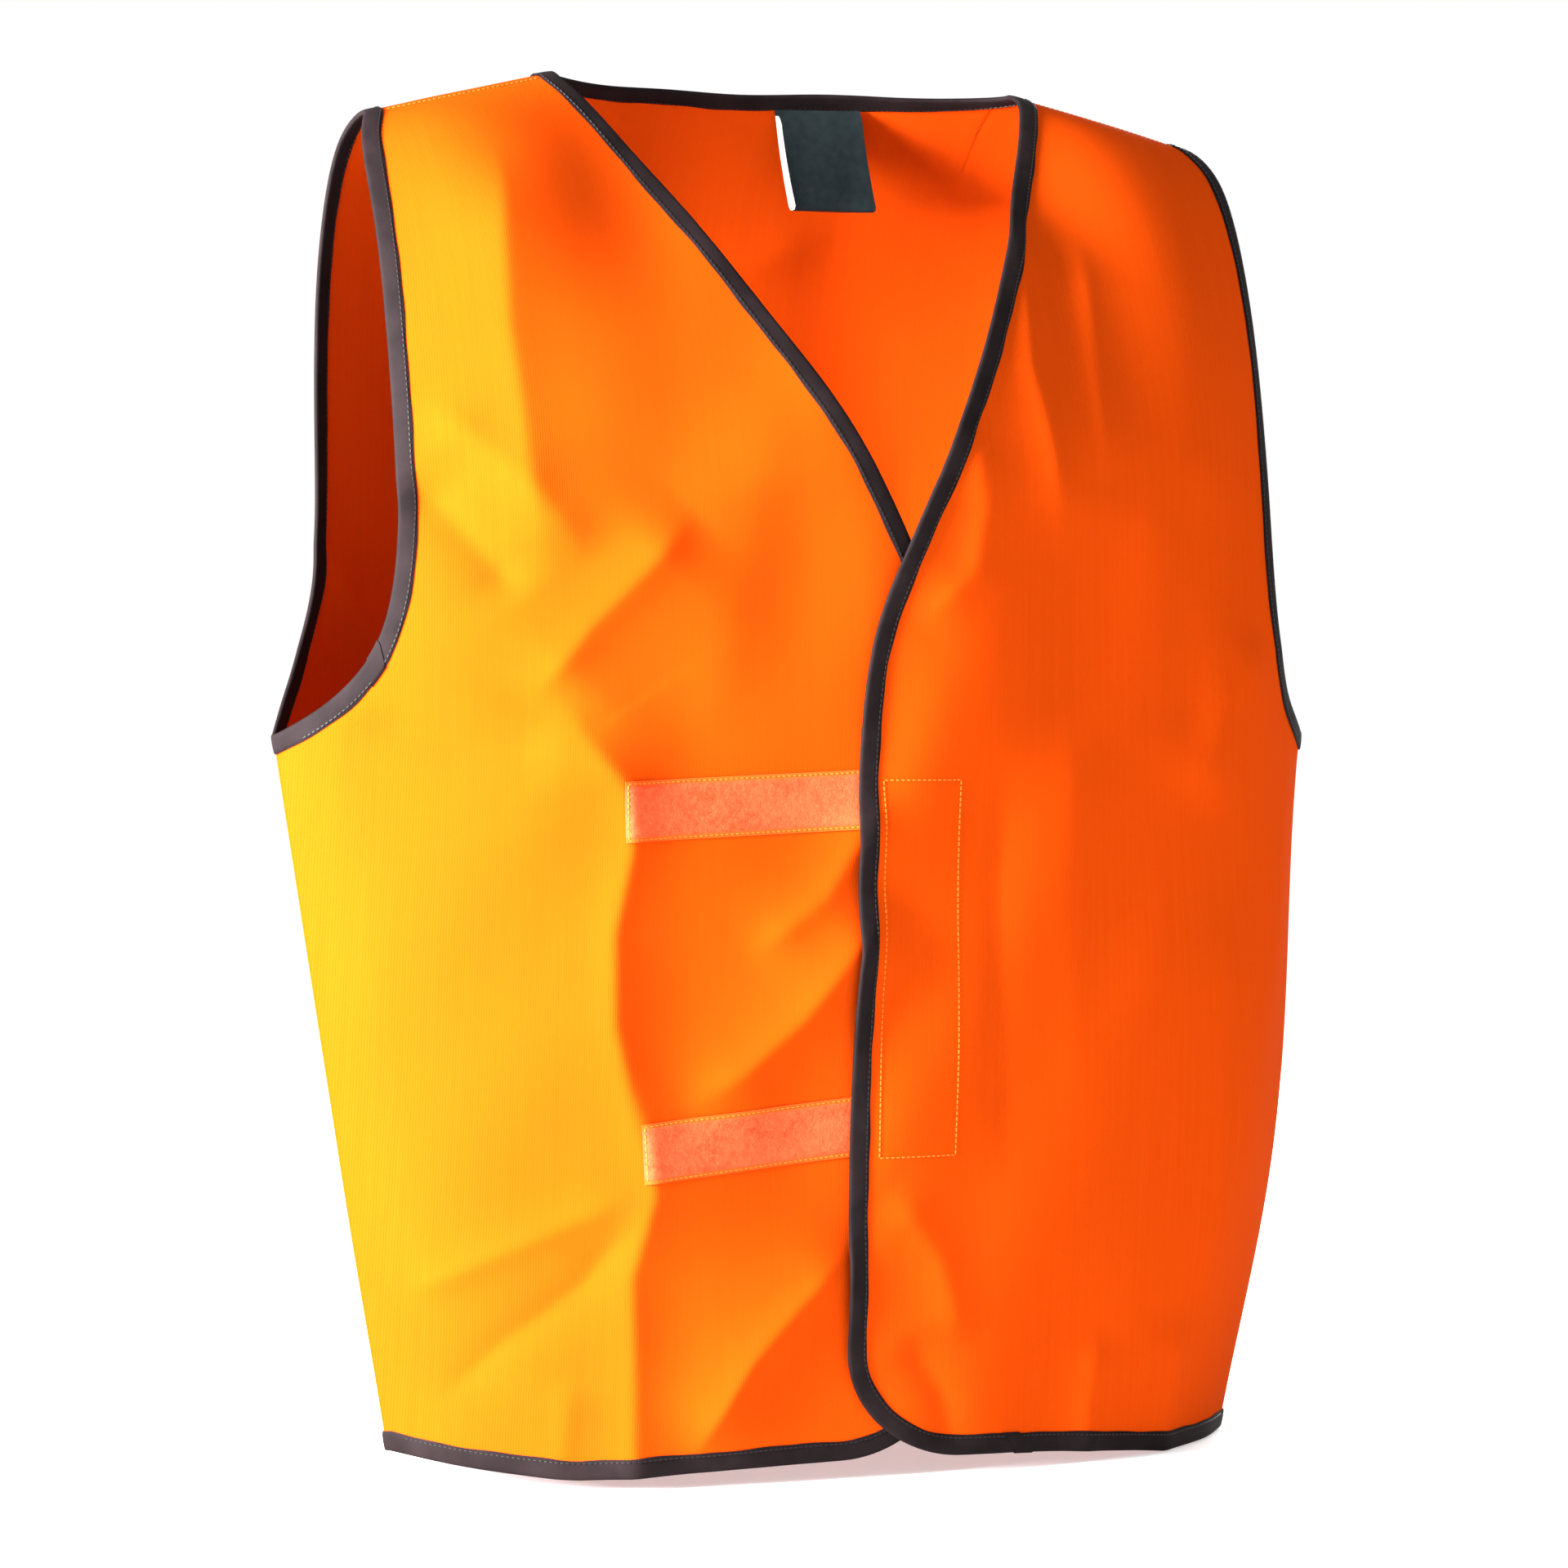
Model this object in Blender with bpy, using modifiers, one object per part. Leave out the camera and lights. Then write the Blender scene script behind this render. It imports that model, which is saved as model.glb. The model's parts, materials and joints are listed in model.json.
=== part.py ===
"""A sleeveless safety vest, modelled as worn: knit panels wrapped on a torso form, bound edges, touch tape.

+X is the wearer's left, -Y the front and +Z up. The origin is under the middle of the vest, on the plane
that its hem stands on. Lengths are metres. Every point of the cloth is a function of two numbers: x, across
the body, and s, the distance over the shoulder ridge, below 0 down the front and above 0 down the back.
"""

import math

import bmesh
import bpy
import numpy as np
from mathutils import Matrix, Vector

# Torso form
RIDGE_Y = 0.016
NECK_X = 0.134
NECK_Z = 0.714
SHOULDER_FALL = 0.024
ARM_DEPTH = 0.316
TIP_X = 0.237
ARMPIT_X = 0.297
HEM_X = 0.239
CHEST_DEPTH = 0.1395
FRONT_TAPER = 0.006
BLADE_DEPTH = 0.1105
BACK_TAPER = 0.0185
BACK_TAPER_TO = 0.450
ARMPIT_FORWARD = 0.029
HEM_SIDE_FORWARD = 0.038
CHEST_DROP = 0.230
BLADE_DROP = 0.168
SQUARENESS = 3.4
NECK_ROUNDING = 0.22
RIDGE_SOFTNESS = 0.050

# How the two sides hang unlike each other
LEFT_FULLNESS = 0.0155
LEFT_FULL_Z = 0.155
LEFT_FULL_UP = 0.235
LEFT_FULL_DOWN = 0.190
RIGHT_HEM_RAISE = 0.009
HEM_SHIFT_UP_TO = 0.150

# Cut edges
EDGE_X = 0.031
VEE_SLOPE = 0.583
VEE_SOFTNESS = 0.0275
VEE_DEPTH = 0.284
CORNER_ACROSS = 0.065
CORNER_UP = 0.055
HEM_MIDDLE_RISE = 0.009
HEM_SIDE_RISE = 0.006
HEM_LOW_X = 0.165
FRONT_ARM_X = 0.249
FRONT_ARM_FLARE = 0.166
FRONT_ARM_POWER = 5.0
BACK_ARM_X = 0.242
BACK_ARM_FLARE = 0.126
BACK_ARM_POWER = 2.6
SHOULDER_SEAM_S = -0.016

# Cloth and trimmings
CLOTH = 0.0008
SEAM_GAP = 0.0008
SIDE_GAP = 0.0004
LAP = 0.0046
LAP_FULL_X = 0.050
LAP_END_X = 0.110
BINDING_WIDTH = 0.0090
BINDING_THICK = 0.0007
BINDING_GAP = 0.0008
TAPE_WIDTH = 0.030
TAPE_THICK = 0.0012
TAPE_GAP = 0.0003
UPPER_TAPE_Z = 0.337
LOWER_TAPE_Z = 0.168
UPPER_TAPE_TILT = 2.4
LOWER_TAPE_TILT = 5.0
UPPER_TAPE_OUTER_X = -0.151
LOWER_TAPE_OUTER_X = -0.140
TAPE_TO_EDGE = 0.006
HOOK_WIDTH = 0.048
HOOK_TOP_Z = 0.354
HOOK_BOTTOM_Z = 0.160
HOOK_TO_EDGE = 0.0048
THREAD = 0.0007
THREAD_GAP = 0.0003
STITCH_INSET = 0.0020
SHOULDER_STITCH_S = -0.021

# Neck label, a satin tape folded in two
LABEL_X = 0.045
LABEL_WIDTH = 0.046
LABEL_DROP = 0.050
LABEL_THICK = 0.0005
LABEL_OPEN = 0.0040
LABEL_TOP_GAP = 0.0006
LABEL_CLEAR = 0.0006
LABEL_BELOW = 0.0035

# Fold lines of the two front corners, each a point on the edge's side and one at the hem, as x and z
LEFT_FOLD = ((0.045, 0.560), (0.130, 0.0))
RIGHT_FOLD = ((0.031, 0.450), (-0.080, 0.0))
FOLD_GAP = 0.0008

# Mesh density
FRONT_U = (0, 0.035, 0.09, 0.17, 0.26, 0.36, 0.46, 0.56, 0.66, 0.76, 0.85, 0.92, 0.968, 1)
SHOULDER_U = (0, 0.018, 0.05, 0.09, 0.14, 0.18, 0.2)
HALF_BACK_U = (0.208, 0.222, 0.24, 0.275, 0.32, 0.38, 0.44)
SIDE_V = (0, 0.013, 0.035, 0.06, 0.095, 0.13, 0.18, 0.24, 0.30, 0.36, 0.41, 0.45, 0.475, 0.489)
ARM_V = (0.5, 0.51, 0.525, 0.545, 0.57, 0.595, 0.62, 0.65, 0.69, 0.74, 0.79, 0.84, 0.88, 0.91, 0.93, 0.945, 0.958, 0.97, 0.98, 0.99, 1)
CURVE_SAMPLES = 400

# Places that follow from the sizes above
TIP_Z = NECK_Z - SHOULDER_FALL
ARMPIT_Z = TIP_Z - ARM_DEPTH
ARMPIT_Y = RIDGE_Y - ARMPIT_FORWARD
HEM_SIDE_Y = RIDGE_Y - HEM_SIDE_FORWARD
FRONT_CHEST_Y = RIDGE_Y - CHEST_DEPTH
BACK_CHEST_Y = RIDGE_Y + BLADE_DEPTH
VEE_Z = NECK_Z - VEE_DEPTH
FRONT_ARM_TURN_Z = ARMPIT_Z + FRONT_ARM_FLARE
BACK_ARM_TURN_Z = ARMPIT_Z + BACK_ARM_FLARE

ORANGE = (1.0, 0.19, 0.01)
BLACK = (0.020, 0.013, 0.014)
LOOP_CORAL = (1.0, 0.20, 0.08)
HOOK_CORAL = (1.0, 0.16, 0.05)
THREAD_ORANGE = (1.0, 0.33, 0.05)
LABEL_NAVY = (0.012, 0.017, 0.024)


def smooth(t):
    """0 to 1 with flat ends."""
    t = np.clip(t, 0.0, 1.0)
    return t * t * (3 - 2 * t)


def ridge_z(x):
    """Height of the shoulder ridge, a straight slope that goes on across the neck and rounds off in its middle."""
    soft = [np.hypot(at, RIDGE_SOFTNESS) for at in (x, NECK_X, TIP_X)]
    return NECK_Z - (soft[0] - soft[1]) * (NECK_Z - TIP_Z) / (soft[2] - soft[1])


def half_width(z):
    """Half the width of the form at its side seams."""
    return HEM_X + (ARMPIT_X - HEM_X) * np.clip(z / ARMPIT_Z, -0.2, 1.12)


def side_y(z):
    return np.interp(z, [0.0, ARMPIT_Z, TIP_Z], [HEM_SIDE_Y, ARMPIT_Y, RIDGE_Y])


def quarter(drop, depth):
    """Length of a quarter ellipse, nearly."""
    return math.pi / 2 * math.sqrt((drop**2 + depth**2) / 2)


FRONT_QUARTER = quarter(CHEST_DROP, CHEST_DEPTH)
BACK_QUARTER = quarter(BLADE_DROP, BLADE_DEPTH)


def hang(x, z):
    """How far the left side stands out to its side, and how far the hem goes up on the right and down on the left."""
    reach = np.where(z > LEFT_FULL_Z, LEFT_FULL_UP, LEFT_FULL_DOWN)
    full = np.cos(np.clip((z - LEFT_FULL_Z) / reach, -1, 1) * math.pi / 2) ** 2
    side = LEFT_FULLNESS * full * smooth((x - 0.08) / 0.16)
    near_hem = 1 - smooth(z / HEM_SHIFT_UP_TO)
    left = HEM_SIDE_RISE * np.clip((x - HEM_LOW_X) / (HEM_X - HEM_LOW_X), 0.0, 1.0) ** 2
    right = RIGHT_HEM_RAISE * np.clip(-x / HEM_X, 0.0, 1.0) ** 2
    return side, near_hem * (right - left)


def form(x, s):
    """Points of the form, shape (..., 3).

    Down from the ridge the height falls as 1 - cos and the depth grows as sin, a quarter ellipse, which near
    the neck is flattened towards a plain slope. Lower down it goes straight. Across, the depth falls off as
    1 - |x / half width| to a power, so front and back meet in a sharp side seam.
    """
    x, s = np.broadcast_arrays(np.asarray(x, float), np.asarray(s, float))
    front = s < 0
    drop = np.where(front, CHEST_DROP, BLADE_DROP)
    turn = np.where(front, FRONT_QUARTER, BACK_QUARTER)
    along = np.abs(s)
    angle = np.clip(along / turn, 0.0, 1.0) * math.pi / 2
    z = ridge_z(x) - drop * (1 - np.cos(angle)) - np.maximum(along - turn, 0.0)
    round_share = np.where(
        front, NECK_ROUNDING + (1 - NECK_ROUNDING) * smooth((np.abs(x) - 0.10) / 0.12), 1.0
    )
    out = round_share * np.sin(angle) + (1 - round_share) * (1 - np.cos(angle) ** 1.6)
    far_front = FRONT_CHEST_Y + FRONT_TAPER * (1 - smooth(z / ARMPIT_Z))
    far_back = BACK_CHEST_Y - BACK_TAPER * (1 - smooth(z / BACK_TAPER_TO))
    far = np.where(front, far_front, far_back)
    across = 1 - np.clip(np.abs(x) / half_width(z), 0.0, 1.0) ** SQUARENESS
    seam = side_y(z)
    full = seam + (far - seam) * across
    y = RIDGE_Y + (full - RIDGE_Y) * out
    to_side, up = hang(x, z)
    return np.stack([x + to_side, y, z + up], -1)


def normal(x, s):
    """Outward normals of the form, from small steps along x and s."""
    step = 0.0001
    across = form(np.asarray(x) + step, s) - form(np.asarray(x) - step, s)
    down = form(x, np.asarray(s) + step) - form(x, np.asarray(s) - step)
    found = np.cross(across, down)
    return found / np.linalg.norm(found, axis=-1, keepdims=True)


def s_at(x, z, side):
    """The s of the point at x and height z; side is -1 for the front and 1 for the back."""
    drop, turn = (CHEST_DROP, FRONT_QUARTER) if side < 0 else (BLADE_DROP, BACK_QUARTER)
    fall = ridge_z(x) - z
    angle = np.arccos(np.clip(1 - fall / drop, 0.0, 1.0))
    return side * np.where(fall < drop, angle / (math.pi / 2) * turn, turn + fall - drop)


def lift(x, layer):
    """How far a layer stands off the form: 1 is the left front, over the lap, and -1 the right front, under it."""
    away = x * layer
    return layer * LAP / 2 * smooth((LAP_END_X - away) / (LAP_END_X - LAP_FULL_X))


def place(points, layer=0, off=0.0):
    """World points of (x, s) pairs on a layer, off metres outwards of the cloth's middle."""
    points = np.asarray(points, float)
    x, s = points[..., 0], points[..., 1]
    return form(x, s) + normal(x, s) * (lift(x, layer) + off)[..., None]


# Cut edges, all on the wearer's left, as (x, s) points


def hem_z(x, side):
    """Height of the hem: a little up at the sides and, in front, towards the middle."""
    ax = np.abs(x)
    up = HEM_SIDE_RISE * np.clip((ax - HEM_LOW_X) / (HEM_X - HEM_LOW_X), 0.0, None) ** 2
    if side < 0:
        up = up + HEM_MIDDLE_RISE * np.clip(1 - (ax / HEM_LOW_X) ** 2, 0.0, None)
    return up + HEM_CLEAR


HEM_CLEAR = BINDING_THICK + BINDING_GAP + 0.0002


def front_edge_x(z):
    """The straight V of the neckline, which turns softly into the upright front edge."""
    vee = (z - VEE_Z) * VEE_SLOPE
    return -EDGE_X + (vee + np.sqrt(vee**2 + VEE_SOFTNESS**2)) / 2


def arm_x(z, side):
    """The armhole: upright beside the chest, flaring out to the armpit and in to the shoulder tip."""
    if side < 0:
        arm, turn, power = FRONT_ARM_X, FRONT_ARM_TURN_Z, FRONT_ARM_POWER
    else:
        arm, turn, power = BACK_ARM_X, BACK_ARM_TURN_Z, BACK_ARM_POWER
    flare = np.clip((turn - z) / (turn - ARMPIT_Z), 0.0, 1.0) ** power
    return arm + (ARMPIT_X - SIDE_GAP - arm) * flare - (arm - TIP_X) * np.exp(-(TIP_Z - z) / 0.010)


def evenly(points, ends_share=0.0):
    """A function of t from 0 to 1 along a polyline; ends_share crowds its steps towards both ends."""
    points = np.asarray(points, float)
    world = form(points[:, 0], points[:, 1])
    along = np.concatenate([[0.0], np.cumsum(np.linalg.norm(np.diff(world, axis=0), axis=1))])
    along /= along[-1]

    def at(t):
        t = (1 - ends_share) * t + ends_share * (1 - np.cos(np.pi * t)) / 2
        return np.stack([np.interp(t, along, points[:, k]) for k in range(2)], -1)

    return at


def side_edge(side):
    """Up the side seam from the hem to the armpit."""
    z = np.linspace(hem_z(HEM_X, side), ARMPIT_Z, CURVE_SAMPLES)
    x = half_width(z) - SIDE_GAP
    return evenly(np.stack([x, s_at(x, z, side)], -1))


def arm_edge(side):
    """Up the armhole from the armpit to the shoulder seam."""
    fall = (TIP_Z - ARMPIT_Z) * np.linspace(1, 0, CURVE_SAMPLES) ** 2
    z = TIP_Z - fall
    x = arm_x(z, side)
    s = s_at(x, z, side)
    if side < 0:
        keep = s < SHOULDER_SEAM_S
        x, s = x[keep], s[keep]
        end_x = np.interp(SHOULDER_SEAM_S, [s[-1], 0.0], [x[-1], TIP_X])
        points = np.stack([np.append(x, end_x), np.append(s, SHOULDER_SEAM_S)], -1)
    else:
        front = arm_edge(-1)(np.array(1.0))
        keep = s > 0.002
        x, s = np.append(x[keep], front[0]), np.append(s[keep], SHOULDER_SEAM_S + SEAM_GAP)
        points = np.stack([x, s], -1)
    return evenly(points)


def front_edge():
    """Up the front edge from the hem, round the corner and along the neckline to the shoulder seam."""
    turn = np.linspace(0, math.pi / 2, 60)
    foot_z = hem_z(-EDGE_X + CORNER_ACROSS, -1)
    top_z = foot_z + CORNER_UP
    corner_x = front_edge_x(top_z) + CORNER_ACROSS * (1 - np.sin(turn))
    corner_z = foot_z + CORNER_UP * (1 - np.cos(turn))
    z = NECK_Z - (NECK_Z - top_z) * np.linspace(1, 0, CURVE_SAMPLES)[1:] ** 2
    x = np.concatenate([corner_x, front_edge_x(z)])
    z = np.concatenate([corner_z, z])
    x = np.minimum(x, NECK_X - 0.0005)
    s = s_at(x, z, -1)
    keep = s < SHOULDER_SEAM_S
    x, s = np.append(x[keep], x[keep][-1]), np.append(s[keep], SHOULDER_SEAM_S)
    return np.stack([x, s], -1)


def halves(points, share):
    """Two curves that together run along the points, the first over the given share of their length."""
    whole = evenly(points)
    t = np.linspace(0, 1, CURVE_SAMPLES)
    first, second = whole(t[t <= share]), whole(t[t >= share])
    middle = whole(np.array(share))[None]
    return evenly(np.concatenate([first, middle]), 0.4), evenly(np.concatenate([middle, second]))


def joined(first, second):
    """One curve over t from 0 to 1: first up to a half, then second."""

    def at(t):
        t = np.asarray(t, float)[..., None]
        return np.where(t < 0.5, first(np.clip(2 * t[..., 0], 0, 1)), second(np.clip(2 * t[..., 0] - 1, 0, 1)))

    return at


def patch(left, right, bottom, top, u, v):
    """A Coons patch: the point at (u, v) of a cloth whose four cut edges are given."""
    u, v = u[..., None], v[..., None]
    uu, vv = u[..., 0], v[..., 0]
    zero, one = np.zeros_like(uu), np.ones_like(uu)
    ruled = (1 - u) * left(vv) + u * right(vv) + (1 - v) * bottom(uu) + v * top(uu)
    corners = (
        (1 - u) * (1 - v) * left(zero) + u * (1 - v) * right(zero)
        + (1 - u) * v * left(one) + u * v * right(one)
    )
    return ruled - corners


def hem_edge(x_from, x_to, side):
    """Along the hem between two x."""
    x = np.linspace(x_from, x_to, CURVE_SAMPLES)
    return evenly(np.stack([x, s_at(x, hem_z(x, side), side)], -1))


FRONT_EDGE = front_edge()
FRONT_LOWER, FRONT_UPPER = halves(FRONT_EDGE, 0.5)


def front_pattern(u, v):
    """The left front: u runs from the side to the front edge, v from the hem to the shoulder."""
    outer = joined(side_edge(-1), arm_edge(-1))
    inner = joined(FRONT_LOWER, FRONT_UPPER)
    start, end = outer(np.array(0.0)), inner(np.array(0.0))
    hem = hem_edge(start[0], end[0], -1)
    tip, neck = outer(np.array(1.0)), inner(np.array(1.0))
    seam = evenly(np.linspace(tip, neck, 8))
    return patch(outer, inner, hem, seam, u, v)


def back_top():
    """The back's top edge: shoulder seam, back neckline, shoulder seam, from the wearer's left."""
    tip = arm_edge(1)(np.array(1.0))
    neck_x = FRONT_EDGE[-1, 0]
    seam_s = SHOULDER_SEAM_S + SEAM_GAP
    shoulder = np.array([[tip[0], seam_s], [neck_x, seam_s]])
    turn = np.linspace(0, math.pi / 2, 120)
    x = neck_x * np.cos(turn)
    fall = ridge_z(x) - NECK_Z
    s = s_at(x, ridge_z(x) - np.maximum(fall, 0.0), 1)
    rise = np.array([[neck_x, seam_s * 0.5]])
    half = np.concatenate([rise, np.stack([x, s], -1)])
    neck = np.concatenate([half, (half * [-1, 1])[::-1][1:]])
    left = evenly(shoulder)
    middle = evenly(np.concatenate([shoulder[1:], neck, shoulder[1:] * [-1, 1]]), 0.2)
    share = SHOULDER_U[-1]

    def at(u):
        u = np.asarray(u, float)
        mirrored = left(np.clip((1 - u) / share, 0, 1)) * [-1, 1]
        inside = middle(np.clip((u - share) / (1 - 2 * share), 0, 1))
        return np.where(
            u[..., None] < share,
            left(np.clip(u / share, 0, 1)),
            np.where(u[..., None] > 1 - share, mirrored, inside),
        )

    return at


def back_pattern(u, v):
    """The back: u runs from the wearer's left to the right, v from the hem to the shoulders."""
    left = joined(side_edge(1), arm_edge(1))

    def right(t):
        return left(t) * [-1, 1]

    start = left(np.array(0.0))
    return patch(left, right, hem_edge(start[0], -start[0], 1), back_top(), u, v)


# Solids

PARTS = bpy.data.collections.new("blaze_vest")
NECK_U = (*HALF_BACK_U, 0.5, *(1 - u for u in HALF_BACK_U[::-1]))
BACK_U = (*SHOULDER_U, *NECK_U, *(1 - u for u in SHOULDER_U[::-1]))
V = np.array(SIDE_V + ARM_V)


def material(name, colour, roughness):
    made = bpy.data.materials.new(name)
    made.use_nodes = True
    shader = made.node_tree.nodes["Principled BSDF"]
    shader.inputs["Base Color"].default_value = (*colour, 1.0)
    shader.inputs["Roughness"].default_value = roughness
    shader.inputs["Metallic"].default_value = 0.0
    return made


def add_object(name, mesh, finish):
    """Puts a mesh into the vest's collection as a smooth-shaded object."""
    mesh.materials.clear()
    mesh.materials.append(finish)
    mesh.shade_smooth()
    mesh.set_sharp_from_angle(angle=math.radians(40))
    made = bpy.data.objects.new(name, mesh)
    PARTS.objects.link(made)
    return made


def with_outward_faces(bm):
    bmesh.ops.recalc_face_normals(bm, faces=bm.faces)
    if bm.calc_volume(signed=True) < 0:
        bmesh.ops.reverse_faces(bm, faces=bm.faces)


def cloth(name, pattern, columns, layer, finish, mirrored=False):
    """A cloth panel: a grid laid on the form by its pattern, given its thickness by Solidify."""
    bm = bmesh.new()
    bmesh.ops.create_grid(bm, x_segments=len(columns) - 1, y_segments=len(V) - 1, size=1.0)
    uv = np.array([(v.co.x, v.co.y) for v in bm.verts]) / 2 + 0.5
    u = np.interp(uv[:, 0], np.linspace(0, 1, len(columns)), columns)
    v = np.interp(uv[:, 1], np.linspace(0, 1, len(V)), V)
    points = pattern(u, v)
    if mirrored:
        points = points * [-1, 1]
    world = place(points, layer)
    for vertex, co in zip(bm.verts, world):
        vertex.co = co
    bmesh.ops.triangulate(bm, faces=bm.faces, quad_method="SHORT_EDGE")
    mesh = bpy.data.meshes.new(name)
    bm.to_mesh(mesh)
    bm.free()
    made = add_object(name, mesh, finish)
    solidify = made.modifiers.new("thickness", "SOLIDIFY")
    solidify.thickness = CLOTH
    solidify.offset = 0.0
    bake(made)
    return made


def bake(made):
    """Replaces an object's mesh with the one its modifiers make, with its faces pointing out."""
    bpy.context.view_layer.update()
    graph = bpy.context.evaluated_depsgraph_get()
    mesh = bpy.data.meshes.new_from_object(made.evaluated_get(graph))
    bm = bmesh.new()
    bm.from_mesh(mesh)
    with_outward_faces(bm)
    bm.to_mesh(mesh)
    bm.free()
    made.modifiers.clear()
    made.data = mesh


def loft(name, rings, finish, closed=False):
    """A solid from a loop of points carried along a path; rings is an array (stations, points, 3)."""
    bm = bmesh.new()
    loops = [[bm.verts.new(co) for co in ring] for ring in rings]
    count = len(loops)
    for i in range(count if closed else count - 1):
        here, there = loops[i], loops[(i + 1) % count]
        for k in range(len(here)):
            after = (k + 1) % len(here)
            bm.faces.new((here[k], here[after], there[after], there[k]))
    if not closed:
        for ring in (loops[0], loops[-1]):
            bm.faces.new(ring)
    bmesh.ops.triangulate(bm, faces=bm.faces, quad_method="SHORT_EDGE")
    with_outward_faces(bm)
    mesh = bpy.data.meshes.new(name)
    bm.to_mesh(mesh)
    bm.free()
    return add_object(name, mesh, finish)


def inward(points, layer, inside):
    """Steps in (x, s), one metre long on the form, square to an edge and towards the cloth."""
    points = np.asarray(points, float)
    world = place(points, layer)
    before = np.concatenate([world[1:2] - world[:1], np.diff(world, axis=0)])
    after = np.concatenate([np.diff(world, axis=0), world[-1:] - world[-2:-1]])
    before /= np.linalg.norm(before, axis=1, keepdims=True)
    after /= np.linalg.norm(after, axis=1, keepdims=True)
    along = before + after
    x, s = points[:, 0], points[:, 1]
    step = 0.0001
    by_x = (form(x + step, s) - form(x - step, s)) / (2 * step)
    by_s = (form(x, s + step) - form(x, s - step)) / (2 * step)
    square = np.cross(normal(x, s), along)
    square /= np.linalg.norm(square, axis=1, keepdims=True)
    steps = []
    for a, b, target in zip(by_x, by_s, square):
        steps.append(np.linalg.lstsq(np.stack([a, b], 1), target, rcond=None)[0])
    return np.array(steps) * inside


def channel_profile():
    """The outline of a folded tape, as (towards the cloth, outwards) from the cloth's cut edge."""
    inner = CLOTH / 2 + BINDING_GAP
    outer = inner + BINDING_THICK
    back, lip = -(BINDING_GAP + BINDING_THICK), -BINDING_GAP
    return [
        (BINDING_WIDTH, outer), (back, outer), (back, -outer), (BINDING_WIDTH, -outer),
        (BINDING_WIDTH, -inner), (lip, -inner), (lip, inner), (BINDING_WIDTH, inner),
    ]


def channel(points, layer, inside):
    """Rings of the folded tape along an edge."""
    points = np.asarray(points, float)
    step = inward(points, layer, inside)
    rings = [place(points + step * a, layer, np.full(len(points), b)) for a, b in channel_profile()]
    return np.stack(rings, 1)


def seam_channel(z, up, mirrored):
    """The ring of the folded tape over a side seam, mitred between the front and the back."""
    hand = -1 if mirrored else 1
    low, high = (form(hand * half_width(h), s_at(half_width(h), h, 1)) for h in (z, z + 0.01))
    along = (high - low) / np.linalg.norm(high - low) * up
    x = half_width(z) - 2e-4
    front, back = (normal(hand * x, s_at(x, z, side)) for side in (-1, 1))
    mitre = (front + back) / (1 + front @ back)
    return np.array([low + along * a + mitre * b for a, b in channel_profile()])[None]


def strip(name, corners, layer, off, thick, finish, along=14, across=3):
    """A flat tape lying on a layer between four (x, z) corners, its inner face off metres from the middle."""
    corners = np.asarray(corners, float)
    bm = bmesh.new()
    bmesh.ops.create_grid(bm, x_segments=along, y_segments=across, size=1.0)
    uv = np.array([(v.co.x, v.co.y) for v in bm.verts]) / 2 + 0.5
    u, v = uv[:, :1], uv[:, 1:]
    flat = (1 - v) * ((1 - u) * corners[0] + u * corners[1]) + v * ((1 - u) * corners[3] + u * corners[2])
    points = np.stack([flat[:, 0], s_at(flat[:, 0], flat[:, 1], -1)], -1)
    for vertex, co in zip(bm.verts, place(points, layer, np.full(len(points), off))):
        vertex.co = co
    bmesh.ops.recalc_face_normals(bm, faces=bm.faces)
    if sum(face.normal.y for face in bm.faces) > 0:
        bmesh.ops.reverse_faces(bm, faces=bm.faces)
    mesh = bpy.data.meshes.new(name)
    bm.to_mesh(mesh)
    bm.free()
    made = add_object(name, mesh, finish)
    solidify = made.modifiers.new("thickness", "SOLIDIFY")
    solidify.thickness = thick
    solidify.offset = 1.0
    bake(made)
    return made


def thread(name, points, layer, off, finish, closed=False):
    """A row of stitching as one flat thread, its middle off metres from the cloth's middle."""
    points = np.asarray(points, float)
    step = inward(points, layer, 1.0)
    half = THREAD / 2
    profile = [(-half, off - half), (half, off - half), (half, off + half), (-half, off + half)]
    rings = np.stack([place(points + step * a, layer, np.full(len(points), b)) for a, b in profile], 1)
    return loft(name, rings, finish, closed)


def fold_plane(fold, layer):
    """A point on a fold line, and the level direction across the line, towards the flap."""
    (top_x, top_z), (foot_x, foot_z) = fold
    line = Vector((foot_x - top_x, 0.0, foot_z - top_z)).normalized()
    across = Vector((-line.z, 0.0, line.x))
    return Vector((top_x, FRONT_CHEST_Y, top_z)), across * (-layer if across.x > 0 else layer)


def to_flap(points, fold, layer):
    """How far world points lie past a fold line, towards the flap."""
    point, towards = fold_plane(fold, layer)
    return (points - np.array(point)) @ np.array(towards)


def cut_at(bm, faces, fold, layer, keep):
    """Cuts these faces at a fold line, keeping the flap's side (1) or the other (-1), and closes the cut."""
    point, towards = fold_plane(fold, layer)
    edges = list({edge for face in faces for edge in face.edges})
    verts = list({vertex for face in faces for vertex in face.verts})
    cut = bmesh.ops.bisect_plane(
        bm, geom=verts + edges + list(faces), dist=1e-6, plane_co=point + towards * (keep * FOLD_GAP / 2),
        plane_no=towards * -keep, clear_outer=True,
    )
    rim = [element for element in cut["geom_cut"] if isinstance(element, bmesh.types.BMEdge)]
    bmesh.ops.triangle_fill(bm, edges=rim, use_dissolve=False, use_beauty=True)


def split(made, fold, layer, flap_name, side_name):
    """Cuts a piece along a fold line into the flap and the side that stays, with a gap between them."""
    for name, keep in ((flap_name, 1), (side_name, -1)):
        bm = bmesh.new()
        bm.from_mesh(made.data)
        cut_at(bm, bm.faces[:], fold, layer, keep)
        with_outward_faces(bm)
        mesh = bpy.data.meshes.new(name)
        bm.to_mesh(mesh)
        bm.free()
        add_object(name, mesh, made.data.materials[0])
    bpy.data.objects.remove(made)


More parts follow.
